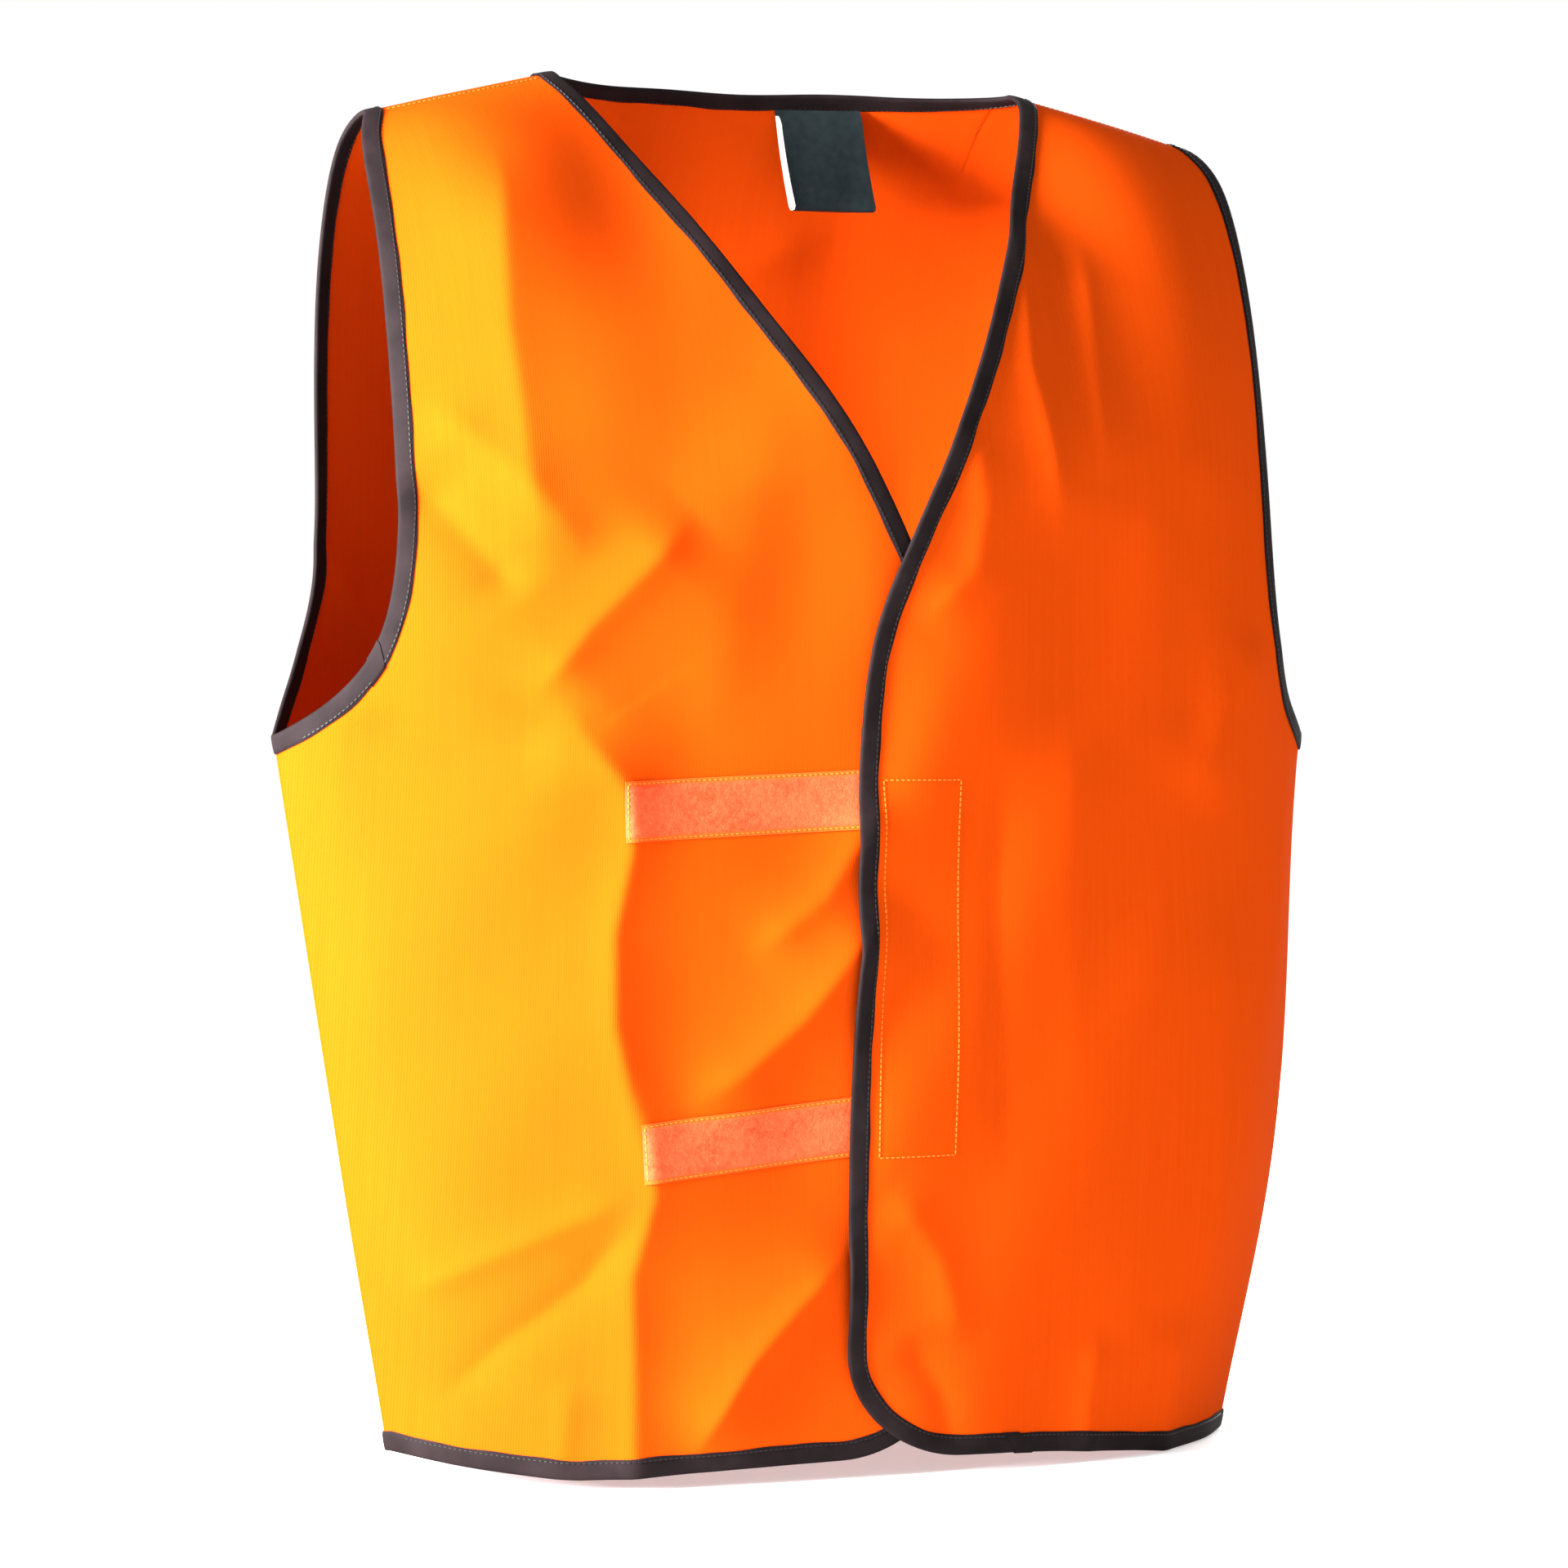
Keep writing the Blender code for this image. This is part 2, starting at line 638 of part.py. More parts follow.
def trim_ends(made, rings, first, last):
    """Cuts the two ends of a channel at fold lines; first and last are (fold, layer, keep)."""
    bm = bmesh.new()
    bm.from_mesh(made.data)
    count = len(channel_profile())
    stations = len(rings)
    reach = []
    for (fold, layer, keep), order in ((first, rings), (last, rings[::-1])):
        kept = (keep * to_flap(order, fold, layer)).min(axis=1) > FOLD_GAP
        reach.append(int(np.flatnonzero(kept)[0]) + 1)
    ends = ([], [])
    for face in bm.faces:
        near = [vertex.index // count for vertex in face.verts]
        if max(near) < reach[0]:
            ends[0].append(face)
        elif min(near) >= stations - reach[1]:
            ends[1].append(face)
    for faces, cut in zip(ends, (first, last)):
        cut_at(bm, faces, *cut)
    with_outward_faces(bm)
    bm.to_mesh(made.data)
    bm.free()
    made.data.set_sharp_from_angle(angle=math.radians(40))


PAST_FOLD = 0.012


def past(points, fold, layer, keep):
    """The stations of a path up to the first one that lies clear past a fold line.

    The path starts on the kept side: the flap's for keep 1, the other for -1.
    """
    reach = -keep * to_flap(place(points, layer), fold, layer)
    beyond = np.flatnonzero(reach > PAST_FOLD)
    return points[: beyond[0] + 1] if len(beyond) else points


def arm_binding(name, mirrored, finish):
    """The tape round an armhole: down its front, over the top of the side seam and up its back."""
    flip = [-1, 1] if mirrored else [1, 1]
    upper = V[V >= 0.5][::-1]
    front = front_pattern(np.zeros(len(upper)), upper)[:-1] * flip
    back = back_pattern(np.zeros(len(upper)), upper)[::-1][1:] * flip
    inside = 1 if mirrored else -1
    rings = [
        channel(front, 0, inside),
        seam_channel(ARMPIT_Z, -1, mirrored),
        channel(back[:-1], 0, inside),
    ]
    return loft(name, np.concatenate(rings), finish, closed=True)


def edge_binding(name, fold, layer, finish):
    """The tape of a front corner: along the hem, round the corner and up to the neckline, between fold lines."""
    hem = front_pattern(np.array(FRONT_U), np.zeros(len(FRONT_U))) * [layer, 1]
    rise = front_pattern(np.ones(len(V)), V) * [layer, 1]
    hem = past(hem[::-1], fold, layer, 1)[::-1]
    rise = past(rise, fold, layer, 1)[1:]
    points = np.concatenate([hem, rise])
    rings = channel(points, layer, -layer)
    made = loft(name, rings, finish)
    cut = (fold, layer, 1)
    trim_ends(made, rings, cut, cut)
    return made


def neck_binding(name, finish):
    """The tape of the neckline, from the left fold line round the back of the neck to the right one."""
    fall = front_pattern(np.ones(len(V)), V)[::-1]
    left = past(fall, LEFT_FOLD, 1, -1)[::-1]
    right = past(fall * [-1, 1], RIGHT_FOLD, -1, -1)
    back = back_pattern(np.array(NECK_U), np.ones(len(NECK_U)))
    points = np.concatenate([left, back, right])
    layer = np.repeat([1, 0, -1], [len(left), len(back), len(right)])
    rings = channel(points, layer, -1)
    made = loft(name, rings, finish)
    trim_ends(made, rings, (LEFT_FOLD, 1, -1), (RIGHT_FOLD, -1, -1))
    return made


def hem_binding(name, finish):
    """The tape of the hem, from the left fold line round the back to the right one, mitred at the side seams."""
    hem = front_pattern(np.array(FRONT_U), np.zeros(len(FRONT_U)))[1:]
    left = past(hem, LEFT_FOLD, 1, -1)[::-1]
    right = past(hem * [-1, 1], RIGHT_FOLD, -1, -1)
    back = back_pattern(np.array(BACK_U[1:-1]), np.zeros(len(BACK_U) - 2))
    seam_z = float(hem_z(HEM_X, 1))
    rings = [
        channel(left, 1, 1), seam_channel(seam_z, 1, False), channel(back, 0, 1),
        seam_channel(seam_z, 1, True), channel(right, -1, 1),
    ]
    rings = np.concatenate(rings)
    made = loft(name, rings, finish)
    trim_ends(made, rings, (LEFT_FOLD, 1, -1), (RIGHT_FOLD, -1, -1))
    return made


def tape_corners(outer_x, z, tilt, inner_x):
    """Corners of a loop tape on the right front, (x, z), its outer end at outer_x; tilt in degrees."""
    along = np.array([math.cos(math.radians(tilt)), math.sin(math.radians(tilt))])
    square = np.array([-along[1], along[0]]) * TAPE_WIDTH / 2
    length = (inner_x - outer_x) / along[0]
    start = np.array([outer_x, z])
    end = start + along * length
    return [start - square, end - square, end + square, start + square]


def label_frame():
    """The label's top line, under the neckline's tape inside the back: its middle, its direction and its depth."""
    x = np.array([LABEL_X - LABEL_WIDTH / 2, LABEL_X + LABEL_WIDTH / 2])
    top = back_pattern(np.linspace(0, 1, 400), np.ones(400))
    s = np.interp(x, top[::-1, 0], top[::-1, 1])
    points = np.stack([x, s], -1)
    step = inward(points, 0, 1.0)
    step *= np.sign(step[:, 1:])
    below = points + step * (BINDING_WIDTH + LABEL_BELOW)
    inner = place(below, 0, -np.full(2, CLOTH / 2 + BINDING_GAP + BINDING_THICK))
    inner[:, 2] = inner[:, 2].min()
    along = inner[1] - inner[0]
    along /= np.linalg.norm(along)
    forward = np.cross(along, [0, 0, 1.0])
    forward *= -np.sign(forward[1])
    return inner.mean(0) + forward * LABEL_CLEAR, along, forward


def neck_label(finish):
    """The satin label: down, round its fold and up again, hanging plumb from its top line."""
    middle, along, forward = label_frame()
    half = LABEL_OPEN / 2
    low = LABEL_DROP - half
    turn = np.linspace(0, math.pi, 9)
    straight = np.array([0.0, 0.3, 0.6])
    down = np.concatenate([low * straight, low + half * np.sin(turn), low * straight[::-1]])
    far = LABEL_TOP_GAP + (LABEL_OPEN - LABEL_TOP_GAP) * straight[::-1]
    out = np.concatenate([0 * straight, half - half * np.cos(turn), far]) + LABEL_THICK
    bm = bmesh.new()
    bmesh.ops.create_grid(bm, x_segments=2, y_segments=len(down) - 1, size=1.0)
    for vertex in bm.verts:
        row = round((vertex.co.y + 1) / 2 * (len(down) - 1))
        side = vertex.co.x * LABEL_WIDTH / 2
        vertex.co = middle + along * side + forward * out[row] - np.array([0, 0, down[row]])
    mesh = bpy.data.meshes.new("neck_label")
    bm.to_mesh(mesh)
    bm.free()
    made = add_object("neck_label", mesh, finish)
    solidify = made.modifiers.new("thickness", "SOLIDIFY")
    solidify.thickness = LABEL_THICK
    solidify.offset = 0.0
    solidify.use_even_offset = True
    bake(made)
    return made


def hinge_on(name, fold, layer):
    """An empty on a fold line, just outside the cloth, its Z along the line upwards."""
    (top_x, top_z), (foot_x, foot_z) = fold
    empty = bpy.data.objects.new(name, None)
    line = Vector((top_x - foot_x, 0.0, top_z - foot_z)).normalized()
    outside = fold_outside(fold, layer)
    empty.matrix_world = Matrix.Translation((foot_x, outside, foot_z)) @ line.to_track_quat("Z", "Y").to_matrix().to_4x4()
    empty.empty_display_size = 0.05
    PARTS.objects.link(empty)
    return empty


def fold_outside(fold, layer):
    """The y of the fold's axis: level with the furthest forward point of the tape and cloth along the fold."""
    (top_x, top_z), (foot_x, foot_z) = fold
    t = np.linspace(0.0, 1.0, 60)
    x, z = foot_x + (top_x - foot_x) * t, foot_z + (top_z - foot_z) * t
    points = np.stack([x, s_at(x, z, -1)], -1)
    out = np.full(60, CLOTH / 2 + BINDING_GAP + BINDING_THICK)
    return float(place(points, layer, out)[:, 1].min()) - 0.0002


def hold(empty, names):
    """Parents pieces to the empty on their joint's axis without moving them."""
    bpy.context.view_layer.update()
    for name in names:
        piece = bpy.data.objects[name]
        piece.parent = empty
        piece.matrix_parent_inverse = empty.matrix_world.inverted()


def main():
    for old in list(bpy.data.objects):
        bpy.data.objects.remove(old)
    bpy.context.scene.collection.children.link(PARTS)
    orange = material("knit_orange", ORANGE, 0.7)
    black = material("binding_black", BLACK, 0.6)
    coral = material("loop_coral", LOOP_CORAL, 0.8)
    hooks = material("hook_coral", HOOK_CORAL, 0.5)
    stitch = material("thread_orange", THREAD_ORANGE, 0.5)
    satin = material("label_satin", LABEL_NAVY, 0.35)

    cloth("back_panel", back_pattern, BACK_U, 0, orange)
    left = cloth("left_front", front_pattern, FRONT_U, 1, orange)
    right = cloth("right_front", front_pattern, FRONT_U, -1, orange, mirrored=True)
    split(left, LEFT_FOLD, 1, "left_front_flap", "left_front_side")
    split(right, RIGHT_FOLD, -1, "right_front_flap", "right_front_side")

    neck_binding("neck_binding", black)
    hem_binding("hem_binding", black)
    edge_binding("left_edge_binding", LEFT_FOLD, 1, black)
    edge_binding("right_edge_binding", RIGHT_FOLD, -1, black)
    arm_binding("left_arm_binding", False, black)
    arm_binding("right_arm_binding", True, black)

    off = CLOTH / 2 + TAPE_GAP
    end_x = EDGE_X - BINDING_WIDTH - TAPE_TO_EDGE
    upper = tape_corners(UPPER_TAPE_OUTER_X, UPPER_TAPE_Z, UPPER_TAPE_TILT, end_x)
    lower = tape_corners(LOWER_TAPE_OUTER_X, LOWER_TAPE_Z, LOWER_TAPE_TILT, end_x)
    for level, corners in (("upper", upper), ("lower", lower)):
        tape = strip(f"{level}_loop", corners, -1, off, TAPE_THICK, coral)
        split(tape, RIGHT_FOLD, -1, f"{level}_loop_inner", f"{level}_loop_outer")
    hook_x = -EDGE_X + BINDING_WIDTH + HOOK_TO_EDGE
    hook = [
        (hook_x, HOOK_BOTTOM_Z), (hook_x + HOOK_WIDTH, HOOK_BOTTOM_Z),
        (hook_x + HOOK_WIDTH, HOOK_TOP_Z), (hook_x, HOOK_TOP_Z),
    ]
    strip("hook_patch", hook, 1, -off - TAPE_THICK, TAPE_THICK, hooks, along=5, across=12)
    inset = np.array([[1, 1], [-1, 1], [-1, -1], [1, -1]]) * STITCH_INSET
    box = np.array(hook) + inset
    stitch_off = CLOTH / 2 + THREAD_GAP + THREAD / 2
    outline = []
    for start, end, count in zip(box, np.roll(box, -1, axis=0), (6, 16, 6, 16)):
        outline += [start + (end - start) * k / count for k in range(count)]
    outline = np.array(outline)
    outline = np.stack([outline[:, 0], s_at(outline[:, 0], outline[:, 1], -1)], -1)
    thread("hook_stitching", outline, 1, stitch_off, stitch, closed=True)
    tip, neck = front_pattern(np.array([0.0, 1.0]), np.ones(2))
    across = np.linspace(tip[0] - BINDING_WIDTH - 0.002, neck[0] + BINDING_WIDTH + 0.002, 10)
    row = np.stack([across, np.full(10, SHOULDER_STITCH_S)], -1)
    thread("left_shoulder_stitching", row, 0, stitch_off, stitch)
    thread("right_shoulder_stitching", row * [-1, 1], 0, stitch_off, stitch)
    neck_label(satin)

    left_hinge = hinge_on("left_front_axis", LEFT_FOLD, 1)
    right_hinge = hinge_on("right_front_axis", RIGHT_FOLD, -1)
    hold(left_hinge, ("left_front_flap", "left_edge_binding", "hook_patch", "hook_stitching"))
    hold(right_hinge, ("right_front_flap", "right_edge_binding", "upper_loop_inner", "lower_loop_inner"))
    middle, along, forward = label_frame()
    label_hinge = bpy.data.objects.new("label_axis", None)
    track = Vector(along).to_track_quat("Z", "Y").to_matrix().to_4x4()
    label_hinge.matrix_world = Matrix.Translation(middle) @ track
    label_hinge.empty_display_size = 0.02
    PARTS.objects.link(label_hinge)
    hold(label_hinge, ("neck_label",))


main()
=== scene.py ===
"""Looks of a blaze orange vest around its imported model: knit panels with worn-in folds, bound edges,
touch tape, stitching and a folded neck label.

Metres; +X is the wearer's left, -Y the front and +Z up. A point of the cloth is found from two numbers:
x, across the body, and s, the distance over the shoulder ridge, below 0 down the front and above 0 down
the back.
"""

import json
import math

import bpy
import numpy as np
from bpy.props import FloatProperty, FloatVectorProperty, PointerProperty
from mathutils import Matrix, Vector

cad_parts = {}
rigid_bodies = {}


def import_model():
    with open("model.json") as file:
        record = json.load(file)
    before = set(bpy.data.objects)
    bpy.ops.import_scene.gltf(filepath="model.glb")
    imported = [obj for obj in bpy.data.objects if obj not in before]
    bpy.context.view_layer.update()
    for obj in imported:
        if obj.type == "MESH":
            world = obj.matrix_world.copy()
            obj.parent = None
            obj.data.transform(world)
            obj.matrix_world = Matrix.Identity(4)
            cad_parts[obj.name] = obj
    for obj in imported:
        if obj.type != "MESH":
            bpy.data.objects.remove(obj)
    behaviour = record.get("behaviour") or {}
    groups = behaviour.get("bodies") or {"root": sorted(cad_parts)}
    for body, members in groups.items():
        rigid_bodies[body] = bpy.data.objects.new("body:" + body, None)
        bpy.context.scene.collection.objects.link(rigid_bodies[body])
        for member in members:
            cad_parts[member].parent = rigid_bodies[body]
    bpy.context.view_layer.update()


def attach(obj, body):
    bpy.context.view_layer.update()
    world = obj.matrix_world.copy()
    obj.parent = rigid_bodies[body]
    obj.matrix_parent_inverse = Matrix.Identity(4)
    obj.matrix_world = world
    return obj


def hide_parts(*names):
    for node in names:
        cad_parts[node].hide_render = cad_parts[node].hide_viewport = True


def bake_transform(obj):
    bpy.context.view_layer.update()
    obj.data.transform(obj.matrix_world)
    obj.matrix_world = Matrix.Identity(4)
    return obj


for start_object in list(bpy.data.objects):
    bpy.data.objects.remove(start_object)
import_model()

bl_info = {
    "name": "Blaze Orange Vest",
    "version": (1, 0, 0),
    "blender": (4, 5, 0),
    "location": "3D View > Sidebar > Vest",
    "description": "Builds a bound knit vest with its folds, tapes and stitching",
    "category": "Add Mesh",
}

# Torso form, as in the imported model. Each taper, rise and flare is how far an edge or a face moves.
RIDGE_Y = 0.016
NECK_X = 0.134
NECK_Z = 0.714
SHOULDER_FALL = 0.024
ARM_DEPTH = 0.316
TIP_X = 0.237
ARMPIT_X = 0.297
HEM_X = 0.239
CHEST_DEPTH = 0.1395
FRONT_TAPER = 0.006
BLADE_DEPTH = 0.1105
BACK_TAPER = 0.0185
BACK_TAPER_TO = 0.450
ARMPIT_FORWARD = 0.029
HEM_SIDE_FORWARD = 0.038
CHEST_DROP = 0.230
BLADE_DROP = 0.168
SQUARENESS = 3.4
WIDTH_REACH = (-0.2, 1.12)
NECK_ROUNDING = 0.22
NECK_ROUND_X = 0.10
NECK_ROUND_RUN = 0.12
NECK_ROUND_POWER = 1.6
RIDGE_SOFTNESS = 0.050

# How the left side stands out and the right hem rises
LEFT_FULLNESS = 0.0155
LEFT_FULL_X = 0.08
LEFT_FULL_RUN = 0.16
LEFT_FULL_Z = 0.155
LEFT_FULL_UP = 0.235
LEFT_FULL_DOWN = 0.190
RIGHT_HEM_RAISE = 0.009
HEM_SHIFT_UP_TO = 0.150

# Cut edges
EDGE_X = 0.031
VEE_SLOPE = 0.583
VEE_SOFTNESS = 0.0275
VEE_DEPTH = 0.284
CORNER_ACROSS = 0.065
CORNER_UP = 0.055
HEM_MIDDLE_RISE = 0.009
HEM_SIDE_RISE = 0.006
HEM_LOW_X = 0.165
HEM_CLEAR = 0.0017
FRONT_ARM_X = 0.249
FRONT_ARM_FLARE = 0.166
FRONT_ARM_POWER = 5.0
BACK_ARM_X = 0.242
BACK_ARM_FLARE = 0.126
BACK_ARM_POWER = 2.6
ARM_TIP_ROUND = 0.010
SHOULDER_SEAM_S = -0.016
SEAM_GAP = 0.0004
SIDE_GAP = 0.0004
HEM_START = 0.001
ARM_START = 0.006
BACK_SHOULDER_SHARE = 0.2

# The lap of the fronts and the keel at their middle
LAP = 0.0046
LAP_FULL_X = 0.050
LAP_END_X = 0.110
KEEL_HEIGHT = 0.0050
KEEL_REACH = 0.120
KEEL_FADE = 0.200
KEEL_FROM = 0.10
KEEL_RUN = 0.20
KEEL_AT_HEM = 0.3
KEEL_HEM_Z = 0.12
KEEL_HEM_RUN = 0.28

# Edge binding, and the two places where its end laps over its start
BINDING_WIDTH = 0.0090
BINDING_GAP = 0.0006
BINDING_THICK = 0.0007
BINDING_FACE = 0.00135
BINDING_LIP_INSET = 0.0015
JOIN_LENGTH = 0.011
JOIN_PROUD = 0.0005
LEFT_JOIN_X = 0.071
ARM_JOIN_Z = 0.416
JOIN_REACH = 8  # stations to each side that a join is worked out from

# Touch tape and thread
TAPE_WIDTH = 0.030
TAPE_THICK = 0.0012
TAPE_GAP = 0.0003
TAPE_INNER_X = 0.016
SELVAGE = 0.0014
SELVAGE_RISE = 0.0018
HOOK_WIDTH = 0.048
HOOK_TOP_Z = 0.354
HOOK_BOTTOM_Z = 0.160
HOOK_X = -0.0172
STITCH_INSET = 0.0020
LOOP_STITCH_INSET = 0.0013
SHOULDER_STITCH_S = -0.021
THREAD_THICK = 0.00040
THREAD_PROUD = 0.00015
AIM_STEP = 0.001

# Neck label
LABEL_X = 0.045
LABEL_WIDTH = 0.046
LABEL_DROP = 0.050
LABEL_OPEN = 0.0040
LABEL_BELOW = 0.0035
LABEL_INSIDE = 0.0019
LABEL_CURL = 0.0040
LABEL_BELLY = 0.0014
LABEL_LEAN = 0.0062
LABEL_FRONT_LEAN = 0.0025
LABEL_WAVE = 0.0005
LABEL_DRAWN = 0.0075
LABEL_BEND = (0.0028, -0.0016)
LABEL_HALF_THICK = 0.00015
TIGHT = 0.985

# Stage
LIGHTS_AIM_Z = 0.36
BACK_KEY_SHARE = 0.12
FLOOR_REACH = 12.0
FLOOR_HALF = 0.01
FLOOR_Z = -0.0004

# Places that follow from those
TIP_Z = NECK_Z - SHOULDER_FALL
ARMPIT_Z = TIP_Z - ARM_DEPTH
ARMPIT_Y = RIDGE_Y - ARMPIT_FORWARD
HEM_SIDE_Y = RIDGE_Y - HEM_SIDE_FORWARD
FRONT_CHEST_Y = RIDGE_Y - CHEST_DEPTH
BACK_CHEST_Y = RIDGE_Y + BLADE_DEPTH
VEE_Z = NECK_Z - VEE_DEPTH
FRONT_ARM_TURN_Z = ARMPIT_Z + FRONT_ARM_FLARE
BACK_ARM_TURN_Z = ARMPIT_Z + BACK_ARM_FLARE

# Samples of an edge, the distance between a binding's stations, the ends of a curve, and the small steps
# that normals are taken over
SAMPLES = 600
STATION = 0.004
START = np.array(0.0)
END = np.array(1.0)
UP = np.array([0.0, 0.0, 1.0])
FORM_STEP = 0.0001
CLOTH_STEP = 0.0003

# The over front is the wearer's left one and the under front the right one. A front's layer is also the
# sign of its x, and 0 is the back. The fold lines are (x, z), from the top to the hem.
LAYERS = {"left": 1, "right": -1}
FOLD_LINES = {"left": ((0.045, 0.560), (0.130, 0.0)), "right": ((0.031, 0.450), (-0.080, 0.0))}

# How the folds fade: in a share of a line's end, in the lap, at the side seams and at the shoulder seams
END_FADE = 0.25
UNDER_FOLDS_TO_X = {1: 0.036, -1: 0.014}
UNDER_FOLDS_RUN = 0.050
OVER_FOLDS_FROM_X = -0.036
OVER_FOLDS_RUN = 0.030
SIDE_FADE = 0.030
SHOULDER_FADE = 0.045

# Slow waves of the cloth
WAVE_COUNT = 5
WAVE_TURN = 0.9
WAVE_LENGTHS = (0.07, 0.17)
WAVE_HEIGHT = 0.00035

# Folds as worn. Each is a line of (x, z) points, its height, its spread to the sides and the radius of its
# crest.
RIGHT_FOLDS = (
    (((-0.186, 0.402), (-0.170, 0.374), (-0.150, 0.349), (-0.147, 0.319),
      (-0.155, 0.277), (-0.154, 0.232), (-0.136, 0.150)), 0.0088, 0.022, 0.0015),
    (((-0.146, 0.215), (-0.139, 0.182), (-0.134, 0.146),
      (-0.144, 0.106), (-0.142, 0.064), (-0.140, -0.02)), 0.0078, 0.022, 0.0015),
    (((-0.196, 0.386), (-0.186, 0.402), (-0.167, 0.428),
      (-0.140, 0.456), (-0.112, 0.486)), 0.0056, 0.018, 0.0030),
    (((-0.186, 0.675), (-0.195, 0.620), (-0.198, 0.577),
      (-0.193, 0.504), (-0.186, 0.455)), 0.0046, 0.018, 0.003),
    (((-0.248, 0.505), (-0.220, 0.470), (-0.196, 0.440)), -0.0036, 0.012, 0.004),
    (((-0.240, 0.545), (-0.195, 0.500), (-0.165, 0.460)), 0.0030, 0.014, 0.004),
    (((-0.124, 0.188), (-0.088, 0.206), (-0.058, 0.232),
      (-0.025, 0.271), (-0.006, 0.300)), 0.0054, 0.018, 0.002),
    (((-0.088, 0.262), (-0.046, 0.293), (-0.024, 0.325), (-0.010, 0.350)), 0.0030, 0.012, 0.002),
    (((-0.116, 0.010), (-0.083, 0.062), (-0.058, 0.088), (-0.022, 0.122)), 0.0052, 0.016, 0.002),
    (((-0.136, 0.150), (-0.170, 0.134), (-0.202, 0.117), (-0.244, 0.092)), 0.0030, 0.012, 0.0015),
    (((-0.138, 0.142), (-0.166, 0.102), (-0.201, 0.071), (-0.228, 0.036)), -0.0030, 0.012, 0.002),
    (((-0.170, 0.060), (-0.172, 0.020), (-0.176, -0.02)), 0.0022, 0.012, 0.003),
    (((-0.066, 0.560), (-0.090, 0.450), (-0.110, 0.360)), 0.0020, 0.034, 0.012),
    (((-0.275, 0.385), (-0.225, 0.370), (-0.175, 0.365)), -0.0026, 0.012, 0.004),
)
LEFT_FOLDS = (
    (((0.097, 0.665), (0.087, 0.605), (0.080, 0.562),
      (0.087, 0.516), (0.095, 0.465)), 0.0038, 0.013, 0.004),
    (((0.132, 0.640), (0.122, 0.563), (0.121, 0.500)), 0.0030, 0.013, 0.004),
    (((0.036, 0.535), (0.043, 0.491), (0.036, 0.457), (0.002, 0.428)), 0.0028, 0.012, 0.005),
    (((0.058, 0.370), (0.053, 0.292), (0.056, 0.209), (0.062, 0.140)), -0.0022, 0.012, 0.005),
    (((0.100, 0.400), (0.096, 0.300), (0.104, 0.160)), 0.0018, 0.020, 0.008),
    (((-0.010, 0.150), (0.020, 0.110), (0.034, 0.060)), 0.0026, 0.012, 0.005),
    (((0.000, 0.075), (0.022, 0.040), (0.028, 0.000)), -0.0022, 0.010, 0.004),
    (((0.118, 0.070), (0.112, 0.030), (0.110, -0.02)), 0.0024, 0.010, 0.004),
    (((0.168, 0.075), (0.166, 0.030), (0.165, -0.02)), 0.0026, 0.011, 0.004),
    (((0.190, 0.520), (0.175, 0.440), (0.180, 0.350)), -0.0026, 0.020, 0.008),
    (((0.236, 0.430), (0.205, 0.390), (0.180, 0.330)), 0.0026, 0.014, 0.006),
    (((0.200, 0.300), (0.196, 0.180), (0.190, 0.060)), 0.0022, 0.020, 0.008),
)
BACK_FOLDS = (
    (((0.125, 0.560), (0.118, 0.420), (0.126, 0.240), (0.118, -0.02)), 0.0050, 0.024, 0.006),
    (((-0.118, 0.560), (-0.126, 0.410), (-0.116, 0.230), (-0.124, -0.02)), 0.0050, 0.024, 0.006),
    (((0.030, 0.480), (0.042, 0.300), (0.036, -0.02)), -0.0036, 0.022, 0.008),
    (((-0.048, 0.440), (-0.040, 0.260), (-0.050, -0.02)), 0.0032, 0.022, 0.007),
    (((0.240, 0.470), (0.200, 0.430), (0.150, 0.410)), -0.0034, 0.014, 0.006),
    (((-0.242, 0.475), (-0.205, 0.425), (-0.160, 0.400)), -0.0034, 0.014, 0.006),
    (((0.200, 0.330), (0.192, 0.180), (0.196, -0.02)), -0.0034, 0.018, 0.007),
    (((-0.196, 0.320), (-0.200, 0.160), (-0.192, -0.02)), -0.0030, 0.018, 0.007),
    (((-0.090, 0.650), (-0.040, 0.625), (0.030, 0.630), (0.085, 0.652)), -0.0026, 0.014, 0.006),
)


# Sizes and colours


class VestCloth(bpy.types.PropertyGroup):
    fold_depth: FloatProperty(
        name="Fold depth", description="Share of the full depth of the folds",
        default=1.45, min=0.0, max=2.0,
    )
    thickness: FloatProperty(
        name="Cloth thickness", description="Thickness of the knit", default=0.0006, unit="LENGTH",
    )
    wale: FloatProperty(
        name="Wale spacing", description="Distance between the knit's columns",
        default=0.0011, unit="LENGTH",
    )
    course: FloatProperty(
        name="Course spacing", description="Distance between the knit's rows",
        default=0.0009, unit="LENGTH",
    )
    colour: FloatVectorProperty(
        name="Blaze orange", description="Colour of the knit",
        default=(0.51, 0.0480, 0.0018), subtype="COLOR",
    )
    glow: FloatVectorProperty(
        name="Light through the knit", description="Colour of light that passes through the knit",
        default=(0.95, 0.100, 0.004), subtype="COLOR",
    )


